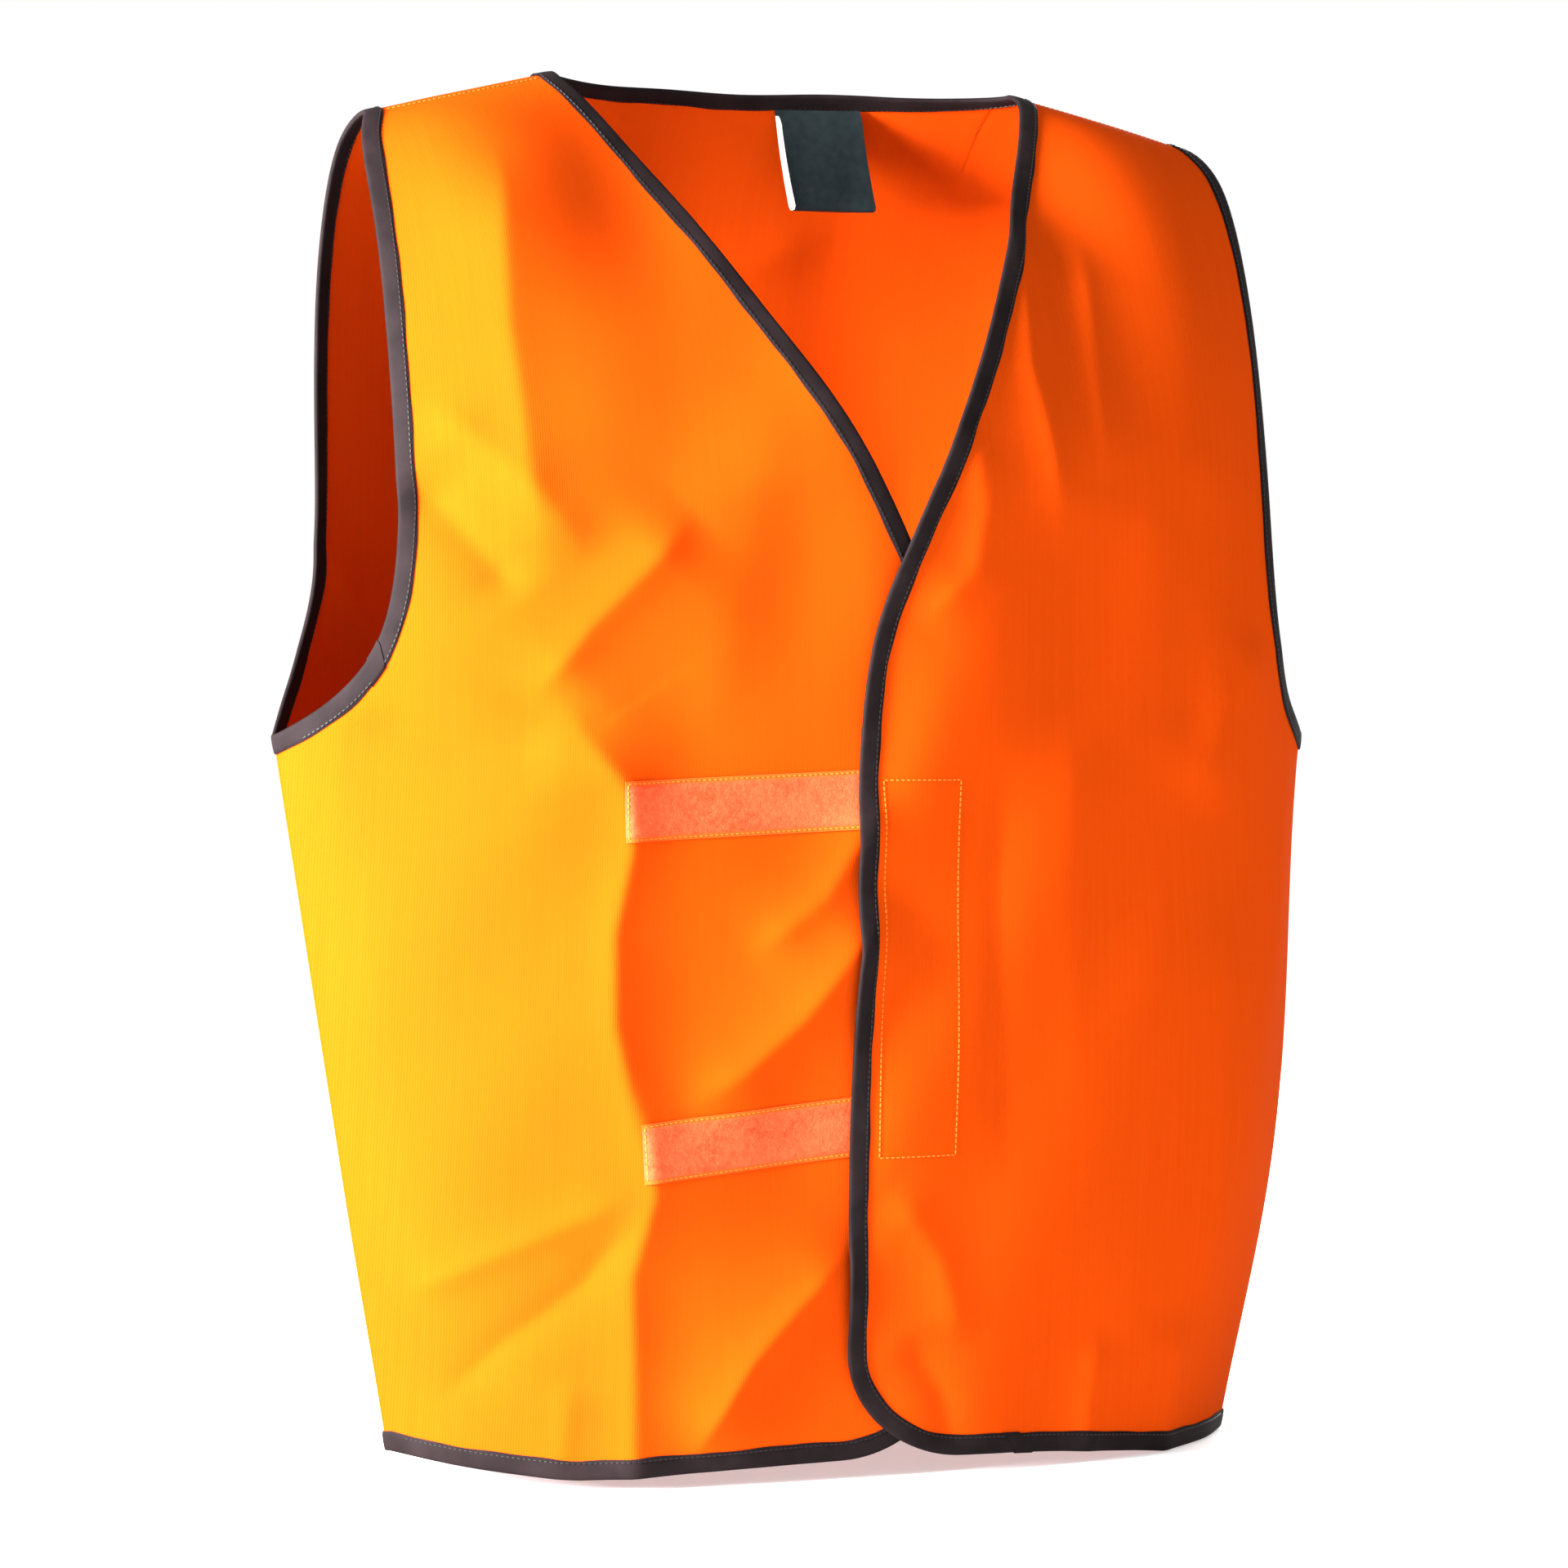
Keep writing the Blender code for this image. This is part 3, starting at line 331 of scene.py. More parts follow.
class VestTrim(bpy.types.PropertyGroup):
    binding: FloatVectorProperty(
        name="Binding", description="Colour of the folded edge tape",
        default=(0.0075, 0.0050, 0.0054), subtype="COLOR",
    )
    binding_thread: FloatVectorProperty(
        name="Binding thread", description="Colour of the stitches in the edge tape",
        default=(0.0070, 0.0052, 0.0056), subtype="COLOR",
    )
    loop: FloatVectorProperty(
        name="Loop tape", description="Colour of the napped tape",
        default=(0.62, 0.040, 0.008), subtype="COLOR",
    )
    hook: FloatVectorProperty(
        name="Hook tape", description="Colour of the hook tape",
        default=(0.76, 0.075, 0.014), subtype="COLOR",
    )
    thread: FloatVectorProperty(
        name="Thread", description="Colour of the visible stitching",
        default=(0.66, 0.120, 0.012), subtype="COLOR",
    )
    label: FloatVectorProperty(
        name="Label", description="Colour of the label's face",
        default=(0.0085, 0.0130, 0.0145), subtype="COLOR",
    )
    stitch_pitch: FloatProperty(
        name="Stitch pitch", description="Distance from one stitch to the next",
        default=0.0028, unit="LENGTH",
    )
    stitch_length: FloatProperty(
        name="Stitch length", description="Visible length of a stitch", default=0.0021, unit="LENGTH",
    )


class VestStage(bpy.types.PropertyGroup):
    key_power: FloatProperty(
        name="Key power", description="Power of the large side light", default=760.0, min=0.0,
    )
    key_size: FloatProperty(
        name="Key size", description="Side of the large light", default=0.9, unit="LENGTH",
    )
    surround: FloatProperty(
        name="Surround", description="Brightness of the white room", default=1.0, min=0.0,
    )
    azimuth: FloatProperty(
        name="Camera azimuth", description="Turn of the camera round the vest",
        default=math.radians(-26), subtype="ANGLE",
    )
    distance: FloatProperty(
        name="Camera distance", description="Distance of the camera from the vest's axis",
        default=3.036, unit="LENGTH",
    )
    height: FloatProperty(
        name="Camera height", description="Height of the camera", default=0.395, unit="LENGTH",
    )
    pitch: FloatProperty(
        name="Camera pitch", description="Angle of the camera below level",
        default=math.radians(0.887), subtype="ANGLE",
    )
    lens: FloatProperty(
        name="Lens", description="Focal length in millimetres", default=132.7,
    )


# The form of the vest


def unit(rows):
    """Each row divided by its length."""
    return rows / np.linalg.norm(rows, axis=-1, keepdims=True)


def along_of(points):
    """Distance from the first point to each of them, from point to point."""
    return np.concatenate([[0.0], np.cumsum(np.linalg.norm(np.diff(points, axis=0), axis=1))])


def smooth(t):
    """0 to 1 with flat ends: three times the square less twice the cube."""
    t = np.clip(t, 0.0, 1.0)
    return t * t * (3 - 2 * t)


def ridge_z(x):
    """Height of the shoulder ridge: a straight slope each way from a middle rounded as a hyperbola."""
    soft = [np.hypot(at, RIDGE_SOFTNESS) for at in (x, NECK_X, TIP_X)]
    return NECK_Z - (soft[0] - soft[1]) * (NECK_Z - TIP_Z) / (soft[2] - soft[1])


def half_width(z):
    """Half the width at the side seams, growing in proportion to height from hem to armpit."""
    return HEM_X + (ARMPIT_X - HEM_X) * np.clip(z / ARMPIT_Z, *WIDTH_REACH)


def quarter(drop, depth):
    """Length of a quarter ellipse, nearly: a quarter turn of the mean radius."""
    return math.pi / 2 * math.sqrt((drop**2 + depth**2) / 2)


FRONT_QUARTER = quarter(CHEST_DROP, CHEST_DEPTH)
BACK_QUARTER = quarter(BLADE_DROP, BLADE_DEPTH)


def hang(x, z):
    """How far the left side stands out, a squared cosine of height, and how far the hem goes up on the
    right and down on the left, a square of x that fades with height."""
    reach = np.where(z > LEFT_FULL_Z, LEFT_FULL_UP, LEFT_FULL_DOWN)
    full = np.cos(np.clip((z - LEFT_FULL_Z) / reach, -1, 1) * math.pi / 2) ** 2
    side = LEFT_FULLNESS * full * smooth((x - LEFT_FULL_X) / LEFT_FULL_RUN)
    left = HEM_SIDE_RISE * np.clip((x - HEM_LOW_X) / (HEM_X - HEM_LOW_X), 0.0, 1.0) ** 2
    right = RIGHT_HEM_RAISE * np.clip(-x / HEM_X, 0.0, 1.0) ** 2
    return side, (1 - smooth(z / HEM_SHIFT_UP_TO)) * (right - left)


def form(x, s):
    """Points of the smooth form. From the ridge the height falls as 1 - cos and the depth grows as sin, a
    quarter ellipse, and then goes straight down; across, the depth falls off as 1 - |x / half width| to a
    power."""
    x, s = np.broadcast_arrays(np.asarray(x, float), np.asarray(s, float))
    front = s < 0
    drop = np.where(front, CHEST_DROP, BLADE_DROP)
    turn = np.where(front, FRONT_QUARTER, BACK_QUARTER)
    along = np.abs(s)
    angle = np.clip(along / turn, 0.0, 1.0) * math.pi / 2
    z = ridge_z(x) - drop * (1 - np.cos(angle)) - np.maximum(along - turn, 0.0)
    rounding = NECK_ROUNDING + (1 - NECK_ROUNDING) * smooth((np.abs(x) - NECK_ROUND_X) / NECK_ROUND_RUN)
    share = np.where(front, rounding, 1.0)
    out = share * np.sin(angle) + (1 - share) * (1 - np.cos(angle) ** NECK_ROUND_POWER)
    far_front = FRONT_CHEST_Y + FRONT_TAPER * (1 - smooth(z / ARMPIT_Z))
    far_back = BACK_CHEST_Y - BACK_TAPER * (1 - smooth(z / BACK_TAPER_TO))
    across = 1 - np.clip(np.abs(x) / half_width(z), 0.0, 1.0) ** SQUARENESS
    seam = np.interp(z, [0.0, ARMPIT_Z, TIP_Z], [HEM_SIDE_Y, ARMPIT_Y, RIDGE_Y])
    full = seam + (np.where(front, far_front, far_back) - seam) * across
    to_side, up = hang(x, z)
    return np.stack([x + to_side, RIDGE_Y + (full - RIDGE_Y) * out, z + up], -1)


def square_to(surface, x, s, step=FORM_STEP):
    """Unit normals of a surface of (x, s): the cross product of its small steps along x and along s."""
    across = surface(x + step, s) - surface(x - step, s)
    down = surface(x, s + step) - surface(x, s - step)
    return unit(np.cross(across, down))


def s_at(x, z, side):
    """The s of the point at x and height z, the inverse of the form's fall; side is -1 in front and 1
    behind."""
    drop, turn = (CHEST_DROP, FRONT_QUARTER) if side < 0 else (BLADE_DROP, BACK_QUARTER)
    fall = ridge_z(x) - z
    angle = np.arccos(np.clip(1 - fall / drop, 0.0, 1.0))
    return side * np.where(fall < drop, angle / (math.pi / 2) * turn, turn + fall - drop)


def crest(x, z, line, spread, radius):
    """1 on a line of points, falling with distance d from it as exp(-(hypot(d, radius) - radius) /
    spread), and fading out over the last quarter of the line at each end, but not at an end below the
    hem."""
    line = np.asarray(line, float)
    pieces = np.diff(line, axis=0)
    lengths = np.linalg.norm(pieces, axis=1)
    begun = np.concatenate([[0.0], np.cumsum(lengths)])
    nearest = np.full(np.shape(x), np.inf)
    share = np.zeros(np.shape(x))
    for start, piece, length, before in zip(line, pieces, lengths, begun):
        t = np.clip(((x - start[0]) * piece[0] + (z - start[1]) * piece[1]) / length**2, 0.0, 1.0)
        away = np.hypot(x - start[0] - t * piece[0], z - start[1] - t * piece[1])
        closer = away < nearest
        nearest = np.where(closer, away, nearest)
        share = np.where(closer, (before + t * length) / begun[-1], share)
    ends = smooth(share / END_FADE)
    if line[-1, 1] >= 0:
        ends = ends * smooth((1 - share) / END_FADE)
    return ends * np.exp(-(np.hypot(nearest, radius) - radius) / spread)


def waves(x, z, seed):
    """Slow unevenness of the cloth: five sine waves with seeded directions, 70 to 170 mm long."""
    rng = np.random.default_rng(seed)
    total = np.zeros(np.shape(x))
    for _ in range(WAVE_COUNT):
        turn, phase = rng.uniform(-WAVE_TURN, WAVE_TURN), rng.uniform(0, 2 * math.pi)
        length = rng.uniform(*WAVE_LENGTHS)
        total += np.sin(2 * math.pi * (x * math.cos(turn) + z * math.sin(turn)) / length + phase)
    return total * WAVE_HEIGHT


def keel(x, s, z):
    """How far the fronts stand out at the middle and lie in beside it: a cosine of x, fading out towards
    the sides, the shoulders and, in part, the hem."""
    wave = np.cos(np.clip(np.abs(x) / KEEL_REACH, 0, 1) * math.pi)
    fade = smooth((KEEL_FADE - np.abs(x)) / (KEEL_FADE - KEEL_REACH))
    low = KEEL_AT_HEM + (1 - KEEL_AT_HEM) * smooth((z - KEEL_HEM_Z) / KEEL_HEM_RUN)
    return KEEL_HEIGHT * wave * fade * smooth((-s - KEEL_FROM) / KEEL_RUN) * low


def folds(x, s, z, layer):
    """How far the worn-in folds stand off the form: the sum of the crests and the slow waves, fading to
    nothing at the side and shoulder seams. Where the fronts lap, the over one also takes the folds of the
    under one, which fade out a little sooner, so that it stays on top."""
    depth = bpy.context.scene.vest_cloth.fold_depth

    def sum_of(table, seed):
        crests = (height * crest(x, z, line, spread, radius) for line, height, spread, radius in table)
        return sum(crests) + waves(x, z, seed)

    if layer == 0:
        total = sum_of(BACK_FOLDS, 11)
    else:
        total = sum_of(RIGHT_FOLDS, 10) * smooth((UNDER_FOLDS_TO_X[layer] - x) / UNDER_FOLDS_RUN)
        if layer > 0:
            total = total + sum_of(LEFT_FOLDS, 12) * smooth((x - OVER_FOLDS_FROM_X) / OVER_FOLDS_RUN)
    side = smooth((half_width(z) - np.abs(x)) / SIDE_FADE)
    shoulder = smooth(np.abs(s - SHOULDER_SEAM_S) / SHOULDER_FADE)
    return depth * total * side * shoulder + (keel(x, s, z) if layer else 0.0)


def lift(x, layer):
    """How far a front stands off the form to lap over the other: half the lap, easing away from the
    middle."""
    return layer * LAP / 2 * smooth((LAP_END_X - x * layer) / (LAP_END_X - LAP_FULL_X))


def cloth_at(x, s, layer):
    """Points of the middle of the cloth: the form moved along its normal by the lap and the folds."""
    base = form(x, s)
    return base + square_to(form, x, s) * (lift(x, layer) + folds(x, s, base[..., 2], layer))[..., None]


def outwards(x, s, layer):
    """Unit normals of the folded cloth."""
    return square_to(lambda a, b: cloth_at(a, b, layer), x, s, CLOTH_STEP)


def place(points, layer, off=0.0):
    """World points of (x, s) pairs, off metres outwards of the cloth's middle."""
    x, s = points[..., 0], points[..., 1]
    return cloth_at(x, s, layer) + outwards(x, s, layer) * np.asarray(off, float)[..., None]


# Cut edges as (x, s) points


def hem_z(x, side):
    """Height of the hem: up as a square towards the sides and, in front, towards the middle."""
    ax = np.abs(x)
    up = HEM_SIDE_RISE * np.clip((ax - HEM_LOW_X) / (HEM_X - HEM_LOW_X), 0.0, None) ** 2
    if side < 0:
        up = up + HEM_MIDDLE_RISE * np.clip(1 - (ax / HEM_LOW_X) ** 2, 0.0, None)
    return up + HEM_CLEAR


def front_edge_x(z):
    """A hyperbola between the straight V of the neckline and the upright front edge."""
    vee = (z - VEE_Z) * VEE_SLOPE
    return -EDGE_X + (vee + np.sqrt(vee**2 + VEE_SOFTNESS**2)) / 2


def arm_x(z, side):
    """The armhole: upright, flaring by a power towards the armpit and in exponentially at the shoulder
    tip."""
    if side < 0:
        arm, turn, power = FRONT_ARM_X, FRONT_ARM_TURN_Z, FRONT_ARM_POWER
    else:
        arm, turn, power = BACK_ARM_X, BACK_ARM_TURN_Z, BACK_ARM_POWER
    flare = np.clip((turn - z) / (turn - ARMPIT_Z), 0.0, 1.0) ** power
    return arm + (ARMPIT_X - SIDE_GAP - arm) * flare - (arm - TIP_X) * np.exp(-(TIP_Z - z) / ARM_TIP_ROUND)


def between(at, along, rows):
    """Rows of numbers at the places at, straight between the rows given at the places along."""
    return np.stack([np.interp(at, along, column) for column in rows.T], -1)


def evenly(points, ends_share=0.0):
    """A function of t from 0 to 1 along a line of points by length; ends_share crowds its steps to the
    ends."""
    points = np.asarray(points, float)
    along = along_of(form(points[:, 0], points[:, 1]))
    along /= along[-1]

    def at(t):
        t = (1 - ends_share) * t + ends_share * (1 - np.cos(np.pi * t)) / 2
        return between(t, along, points)

    return at


def side_edge(side):
    """Up the side seam from the hem to the armpit."""
    z = np.linspace(hem_z(HEM_X, side), ARMPIT_Z, SAMPLES)
    x = half_width(z) - SIDE_GAP
    return evenly(np.stack([x, s_at(x, z, side)], -1))


def arm_edge(side):
    """Up the armhole from the armpit to the shoulder seam."""
    z = TIP_Z - (TIP_Z - ARMPIT_Z) * np.linspace(1, 0, SAMPLES) ** 2
    x = arm_x(z, side)
    s = s_at(x, z, side)
    if side < 0:
        keep = s < SHOULDER_SEAM_S
        x, s = x[keep], s[keep]
        end_x = np.interp(SHOULDER_SEAM_S, [s[-1], 0.0], [x[-1], TIP_X])
        return evenly(np.stack([np.append(x, end_x), np.append(s, SHOULDER_SEAM_S)], -1))
    front = arm_edge(-1)(END)
    keep = s > 0.002
    x, s = np.append(x[keep], front[0]), np.append(s[keep], SHOULDER_SEAM_S + SEAM_GAP)
    return evenly(np.stack([x, s], -1))


def front_edge():
    """Up the front edge from the hem, round the corner, a quarter ellipse, and up the neckline to the
    shoulder."""
    turn = np.linspace(0, math.pi / 2, 60)
    foot_z = hem_z(-EDGE_X + CORNER_ACROSS, -1)
    top_z = foot_z + CORNER_UP
    corner_x = front_edge_x(top_z) + CORNER_ACROSS * (1 - np.sin(turn))
    corner_z = foot_z + CORNER_UP * (1 - np.cos(turn))
    z = NECK_Z - (NECK_Z - top_z) * np.linspace(1, 0, SAMPLES)[1:] ** 2
    x = np.minimum(np.concatenate([corner_x, front_edge_x(z)]), NECK_X - 0.0005)
    s = s_at(x, np.concatenate([corner_z, z]), -1)
    keep = s < SHOULDER_SEAM_S
    return np.stack([np.append(x[keep], x[keep][-1]), np.append(s[keep], SHOULDER_SEAM_S)], -1)


FRONT_EDGE = front_edge()


def halves(points, share):
    """Two curves that together run along the points, the first over the given share of their length."""
    whole = evenly(points)
    t = np.linspace(0, 1, SAMPLES)
    middle = whole(np.array(share))[None]
    first = np.concatenate([whole(t[t <= share]), middle])
    return evenly(first), evenly(np.concatenate([middle, whole(t[t >= share])]))


def joined(first, second):
    """One curve over t from 0 to 1: first up to a half, then second."""

    def at(t):
        t = np.asarray(t, float)
        return np.where(t[..., None] < 0.5, first(np.clip(2 * t, 0, 1)), second(np.clip(2 * t - 1, 0, 1)))

    return at


def patch(left, right, bottom, top, u, v):
    """A Coons patch: the two ruled surfaces between facing edges, added, less the one between the
    corners."""
    u, v = u[..., None], v[..., None]
    uu, vv = u[..., 0], v[..., 0]
    zero, one = np.zeros_like(uu), np.ones_like(uu)
    ruled = (1 - u) * left(vv) + u * right(vv) + (1 - v) * bottom(uu) + v * top(uu)
    low = (1 - u) * (1 - v) * left(zero) + u * (1 - v) * right(zero)
    return ruled - low - (1 - u) * v * left(one) - u * v * right(one)


def hem_edge(x_from, x_to, side):
    """Along the hem between two x."""
    x = np.linspace(x_from, x_to, SAMPLES)
    return evenly(np.stack([x, s_at(x, hem_z(x, side), side)], -1))


def front_pattern(u, v):
    """The left front: u runs from the side to the front edge, v from the hem to the shoulder."""
    outer = joined(side_edge(-1), arm_edge(-1))
    inner = joined(*halves(FRONT_EDGE, 0.5))
    start, end = outer(START), inner(START)
    tip, neck = outer(END), inner(END)
    return patch(outer, inner, hem_edge(start[0], end[0], -1), evenly(np.linspace(tip, neck, 8)), u, v)


def back_neck():
    """The back neckline from the wearer's left shoulder seam to the right one, following the ridge's
    height."""
    neck_x = FRONT_EDGE[-1, 0]
    seam_s = SHOULDER_SEAM_S + SEAM_GAP
    x = neck_x * np.cos(np.linspace(0, math.pi / 2, 160))
    s = s_at(x, ridge_z(x) - np.maximum(ridge_z(x) - NECK_Z, 0.0), 1)
    half = np.concatenate([[[neck_x, seam_s], [neck_x, seam_s * 0.5]], np.stack([x, s], -1)])
    return np.concatenate([half, (half * [-1, 1])[::-1][1:]])


def back_pattern(u, v):
    """The back: u runs from the wearer's left to the right, v from the hem to the shoulders. The top edge
    is shoulder seam, neckline, shoulder seam, a fifth, three fifths and a fifth of u."""
    left = joined(side_edge(1), arm_edge(1))
    neck = back_neck()
    shoulder = evenly(np.stack([left(END), neck[0]]))
    middle = evenly(neck, 0.2)

    def top(t):
        t = np.asarray(t, float)
        share = BACK_SHOULDER_SHARE
        inside = middle(np.clip((t - share) / (1 - 2 * share), 0, 1))
        mirrored = shoulder(np.clip((1 - t) / share, 0, 1)) * [-1, 1]
        outer = np.where(t[..., None] < share, shoulder(np.clip(t / share, 0, 1)), mirrored)
        return np.where((t[..., None] < share) | (t[..., None] > 1 - share), outer, inside)

    start = left(START)
    return patch(left, lambda t: left(t) * [-1, 1], hem_edge(start[0], -start[0], 1), top, u, v)


# Meshes from arrays


def grid_faces(rows, columns):
    """Quads of a grid of rows by columns points."""
    at = np.arange(rows * columns).reshape(rows, columns)
    return np.stack([at[:-1, :-1], at[:-1, 1:], at[1:, 1:], at[1:, :-1]], -1).reshape(-1, 4)


def add_piece(name, points, faces, finish, uv=None, face_side=None):
    """Makes an object of quads, turned to face outwards by the sign of its volume, the sum over its
    triangles of the corner's dot product with the cross product of the other two."""
    a, b, c, d = (points[faces[:, k]] for k in range(4))
    volume = (a * (np.cross(b, c) + np.cross(c, d))).sum()
    if volume < 0:
        faces = faces[:, ::-1]
    mesh = bpy.data.meshes.new(name)
    mesh.vertices.add(len(points))
    mesh.vertices.foreach_set("co", points.astype(np.float32).ravel())
    mesh.loops.add(faces.size)
    mesh.loops.foreach_set("vertex_index", faces.astype(np.int32).ravel())
    mesh.polygons.add(len(faces))
    mesh.polygons.foreach_set("loop_start", np.arange(0, faces.size, 4, dtype=np.int32))
    mesh.update(calc_edges=True)
    if uv is not None:
        layer = mesh.uv_layers.new(name="cloth")
        layer.data.foreach_set("uv", uv[faces.ravel()].astype(np.float32).ravel())
    if face_side is not None:
        attribute = mesh.attributes.new("outer_face", "FLOAT", "POINT")
        attribute.data.foreach_set("value", face_side.astype(np.float32))
    mesh.materials.append(finish)
    mesh.shade_smooth()
    mesh.set_sharp_from_angle(angle=math.radians(55))
    piece = bpy.data.objects.new(name, mesh)
    bpy.context.scene.collection.objects.link(piece)
    return piece


def shell(name, middle, out, half, uv, finish):
    """A sheet with thickness: a grid of points moved out and in along its normals, its rims joined by
    quads."""
    rows, columns = middle.shape[:2]
    count = rows * columns
    outer, inner = middle + out * half, middle - out * half
    points = np.concatenate([outer.reshape(-1, 3), inner.reshape(-1, 3)])
    faces = grid_faces(rows, columns)
    at = np.arange(count).reshape(rows, columns)
    rim = np.concatenate([at[0, :-1], at[:-1, -1], at[-1, :0:-1], at[:0:-1, 0]])
    after = np.roll(rim, -1)
    walls = np.stack([after, rim, rim + count, after + count], -1)
    faces = np.concatenate([faces, faces[:, ::-1] + count, walls])
    side = np.repeat([1.0, 0.0], count)
    flat = uv.reshape(-1, 2)
    return add_piece(name, points, faces, finish, np.concatenate([flat, flat]), side)


def carried(name, rings, finish, closed=False):
    """A profile carried along a path; rings is (stations, points, 3). Its map runs along the path and
    round the profile, both in metres. An open end is closed by quads between facing points of the
    ring."""
    stations, count = rings.shape[:2]
    along, around = along_of(rings.mean(axis=1)), along_of(rings[0])
    uv = np.stack(np.broadcast_arrays(along[:, None], around[None, :]), -1).reshape(-1, 2)
    at = np.arange(stations * count).reshape(stations, count)
    here = at if closed else at[:-1]
    there = np.roll(at, -1, axis=0) if closed else at[1:]
    corners = [here, np.roll(here, -1, axis=1), np.roll(there, -1, axis=1), there]
    faces = [np.stack(corners, -1).reshape(-1, 4)]
    if not closed:
        k = np.arange(count // 2 - 1)
        cap = np.stack([k + 1, k, count - 1 - k, count - 2 - k], -1)
        faces += [at[0][cap], at[-1][cap[:, ::-1]]]
    return add_piece(name, rings.reshape(-1, 3), np.concatenate(faces), finish, uv)


def inward(points, layer, inside):
    """Steps in (x, s), one metre long on the cloth, square to an edge and towards the cloth: the normal
    crossed with the edge's direction, written in the form's own two directions by the normal
    equations."""
    world = cloth_at(points[:, 0], points[:, 1], layer)
    before = unit(np.concatenate([world[1:2] - world[:1], np.diff(world, axis=0)]))
    after = unit(np.concatenate([np.diff(world, axis=0), world[-1:] - world[-2:-1]]))
    x, s = points[:, 0], points[:, 1]
    by_x = (form(x + FORM_STEP, s) - form(x - FORM_STEP, s)) / (2 * FORM_STEP)
    by_s = (form(x, s + FORM_STEP) - form(x, s - FORM_STEP)) / (2 * FORM_STEP)
    square = unit(np.cross(square_to(form, x, s), before + after))
    xx, xs, ss = (by_x * by_x).sum(1), (by_x * by_s).sum(1), (by_s * by_s).sum(1)
    tx, ts = (by_x * square).sum(1), (by_s * square).sum(1)
    scale = xx * ss - xs * xs
    return np.stack([(tx * ss - ts * xs) / scale, (ts * xx - tx * xs) / scale], -1) * inside


def folded_profile():
    """A folded tape, as (towards the cloth, outwards) from the cut edge: a gently crowned face that turns
    round the edge on a half circle, and the same again a tape's thickness inside."""
    gap, thick, width = BINDING_GAP, BINDING_THICK, BINDING_WIDTH
    reach = np.array([1.0, 0.93, 0.80, 0.60, 0.38, 0.18, 0.06])
    crown = np.array([0.15, 0.75, 1.0, 1.12, 1.18, 1.12, 1.05])
    turn = np.radians([62, 30, 0])
    radius = gap + thick * 1.02
    face = np.stack([reach * width, gap + crown * thick], -1)
    bend = np.stack([-np.cos(turn) * radius * 0.9, np.sin(turn) * radius], -1)
    outer = np.concatenate([face, bend, (bend * [1, -1])[-2::-1], (face * [1, -1])[::-1]])
    lining = np.stack([reach * width * 0.995, np.full(7, gap)], -1)
    inner_bend = np.stack([-np.cos(turn) * gap * 0.6, np.sin(turn) * gap], -1)
    inner = np.concatenate([lining, inner_bend, (inner_bend * [1, -1])[-2::-1], (lining * [1, -1])[::-1]])
    return np.concatenate([outer, inner[::-1]])


def folded_rings(points, layer, inside, seed=3):
    """Rings of the folded tape along an edge, its width wandering by a few tenths of a millimetre."""
    step = inward(points, layer, inside)
    t = np.arange(len(points))
    rng = np.random.default_rng(seed)
    wander = 1 + 0.025 * np.sin(t * 0.37 + rng.uniform(0, 6)) + 0.02 * np.sin(t * 0.91 + rng.uniform(0, 6))
    profile = folded_profile()
    a = profile[None, :, 0] * wander[:, None]
    b = np.broadcast_to(profile[None, :, 1], a.shape)
    return place(points[:, None] + step[:, None] * a[..., None], layer, b)


def join_rings(points, layer, inside):
    """Rings of a tape's end lapped over its start: the folded profile a little proud, each point moved
    along the edge by an amount that grows with its place across, so that the ends are cut on a slant."""
    profile = folded_profile()
    across = np.clip(profile[:, 0], 0.0, None)
    middle = len(points) // 2
    along = np.arange(len(points))
    world = cloth_at(points[:, 0], points[:, 1], layer)
    spacing = np.linalg.norm(np.diff(world, axis=0), axis=1).mean()
    reach = JOIN_LENGTH / 2 / spacing
    stations = np.linspace(middle - reach, middle + reach, JOIN_REACH + 1)
    at = stations[:, None] + across[None] / spacing
    step = inward(points, layer, inside)
    edge, steps = between(at, along, points), between(at, along, step)
    on_face = np.abs(profile[:, 1]) > BINDING_GAP + BINDING_THICK / 2
    proud = profile[:, 1] + JOIN_PROUD * np.sign(profile[:, 1]) * on_face
    inner = np.where(profile[:, 0] < 0, profile[:, 0] - JOIN_PROUD, profile[:, 0] * 1.04)
    return place(edge + steps * inner[None, :, None], layer, np.broadcast_to(proud, at.shape))


def seam_rings(z, up, hand):
    """The ring of the folded tape over a side seam, on the plane halfway between the front and the back;
    hand is 1 for the wearer's left and -1 for the right."""
    low, high = (form(hand * half_width(h), s_at(half_width(h), h, 1)) for h in (z, z + 0.01))
    along = (high - low) / np.linalg.norm(high - low) * up
    x = half_width(z) - SIDE_GAP / 2
    front, back = (square_to(form, np.array(hand * x), s_at(x, z, side)) for side in (-1, 1))
    mitre = (front + back) / (1 + front @ back)
    profile = folded_profile()
    return (low + along * profile[:, :1] + mitre * profile[:, 1:])[None]


def along_edge(curve, t_from=0.0):
    """Points of a curve of t, about a station apart, from t_from to its end."""
    dense = curve(np.linspace(t_from, 1.0, SAMPLES))
    world = form(dense[:, 0], dense[:, 1])
    length = np.linalg.norm(np.diff(world, axis=0), axis=1).sum()
    return curve(np.linspace(t_from, 1.0, max(int(length / STATION), 3)))


STITCH_SHAPE = np.array([
    [a, w * b, h * c]
    for a, w, h in ((-0.5, 0.55, 0.35), (-0.32, 1.0, 0.9), (0.32, 1.0, 0.9), (0.5, 0.55, 0.35))
    for b, c in ((-1, -0.6), (-0.75, 0.75), (0.75, 0.75), (1, -0.6))
])


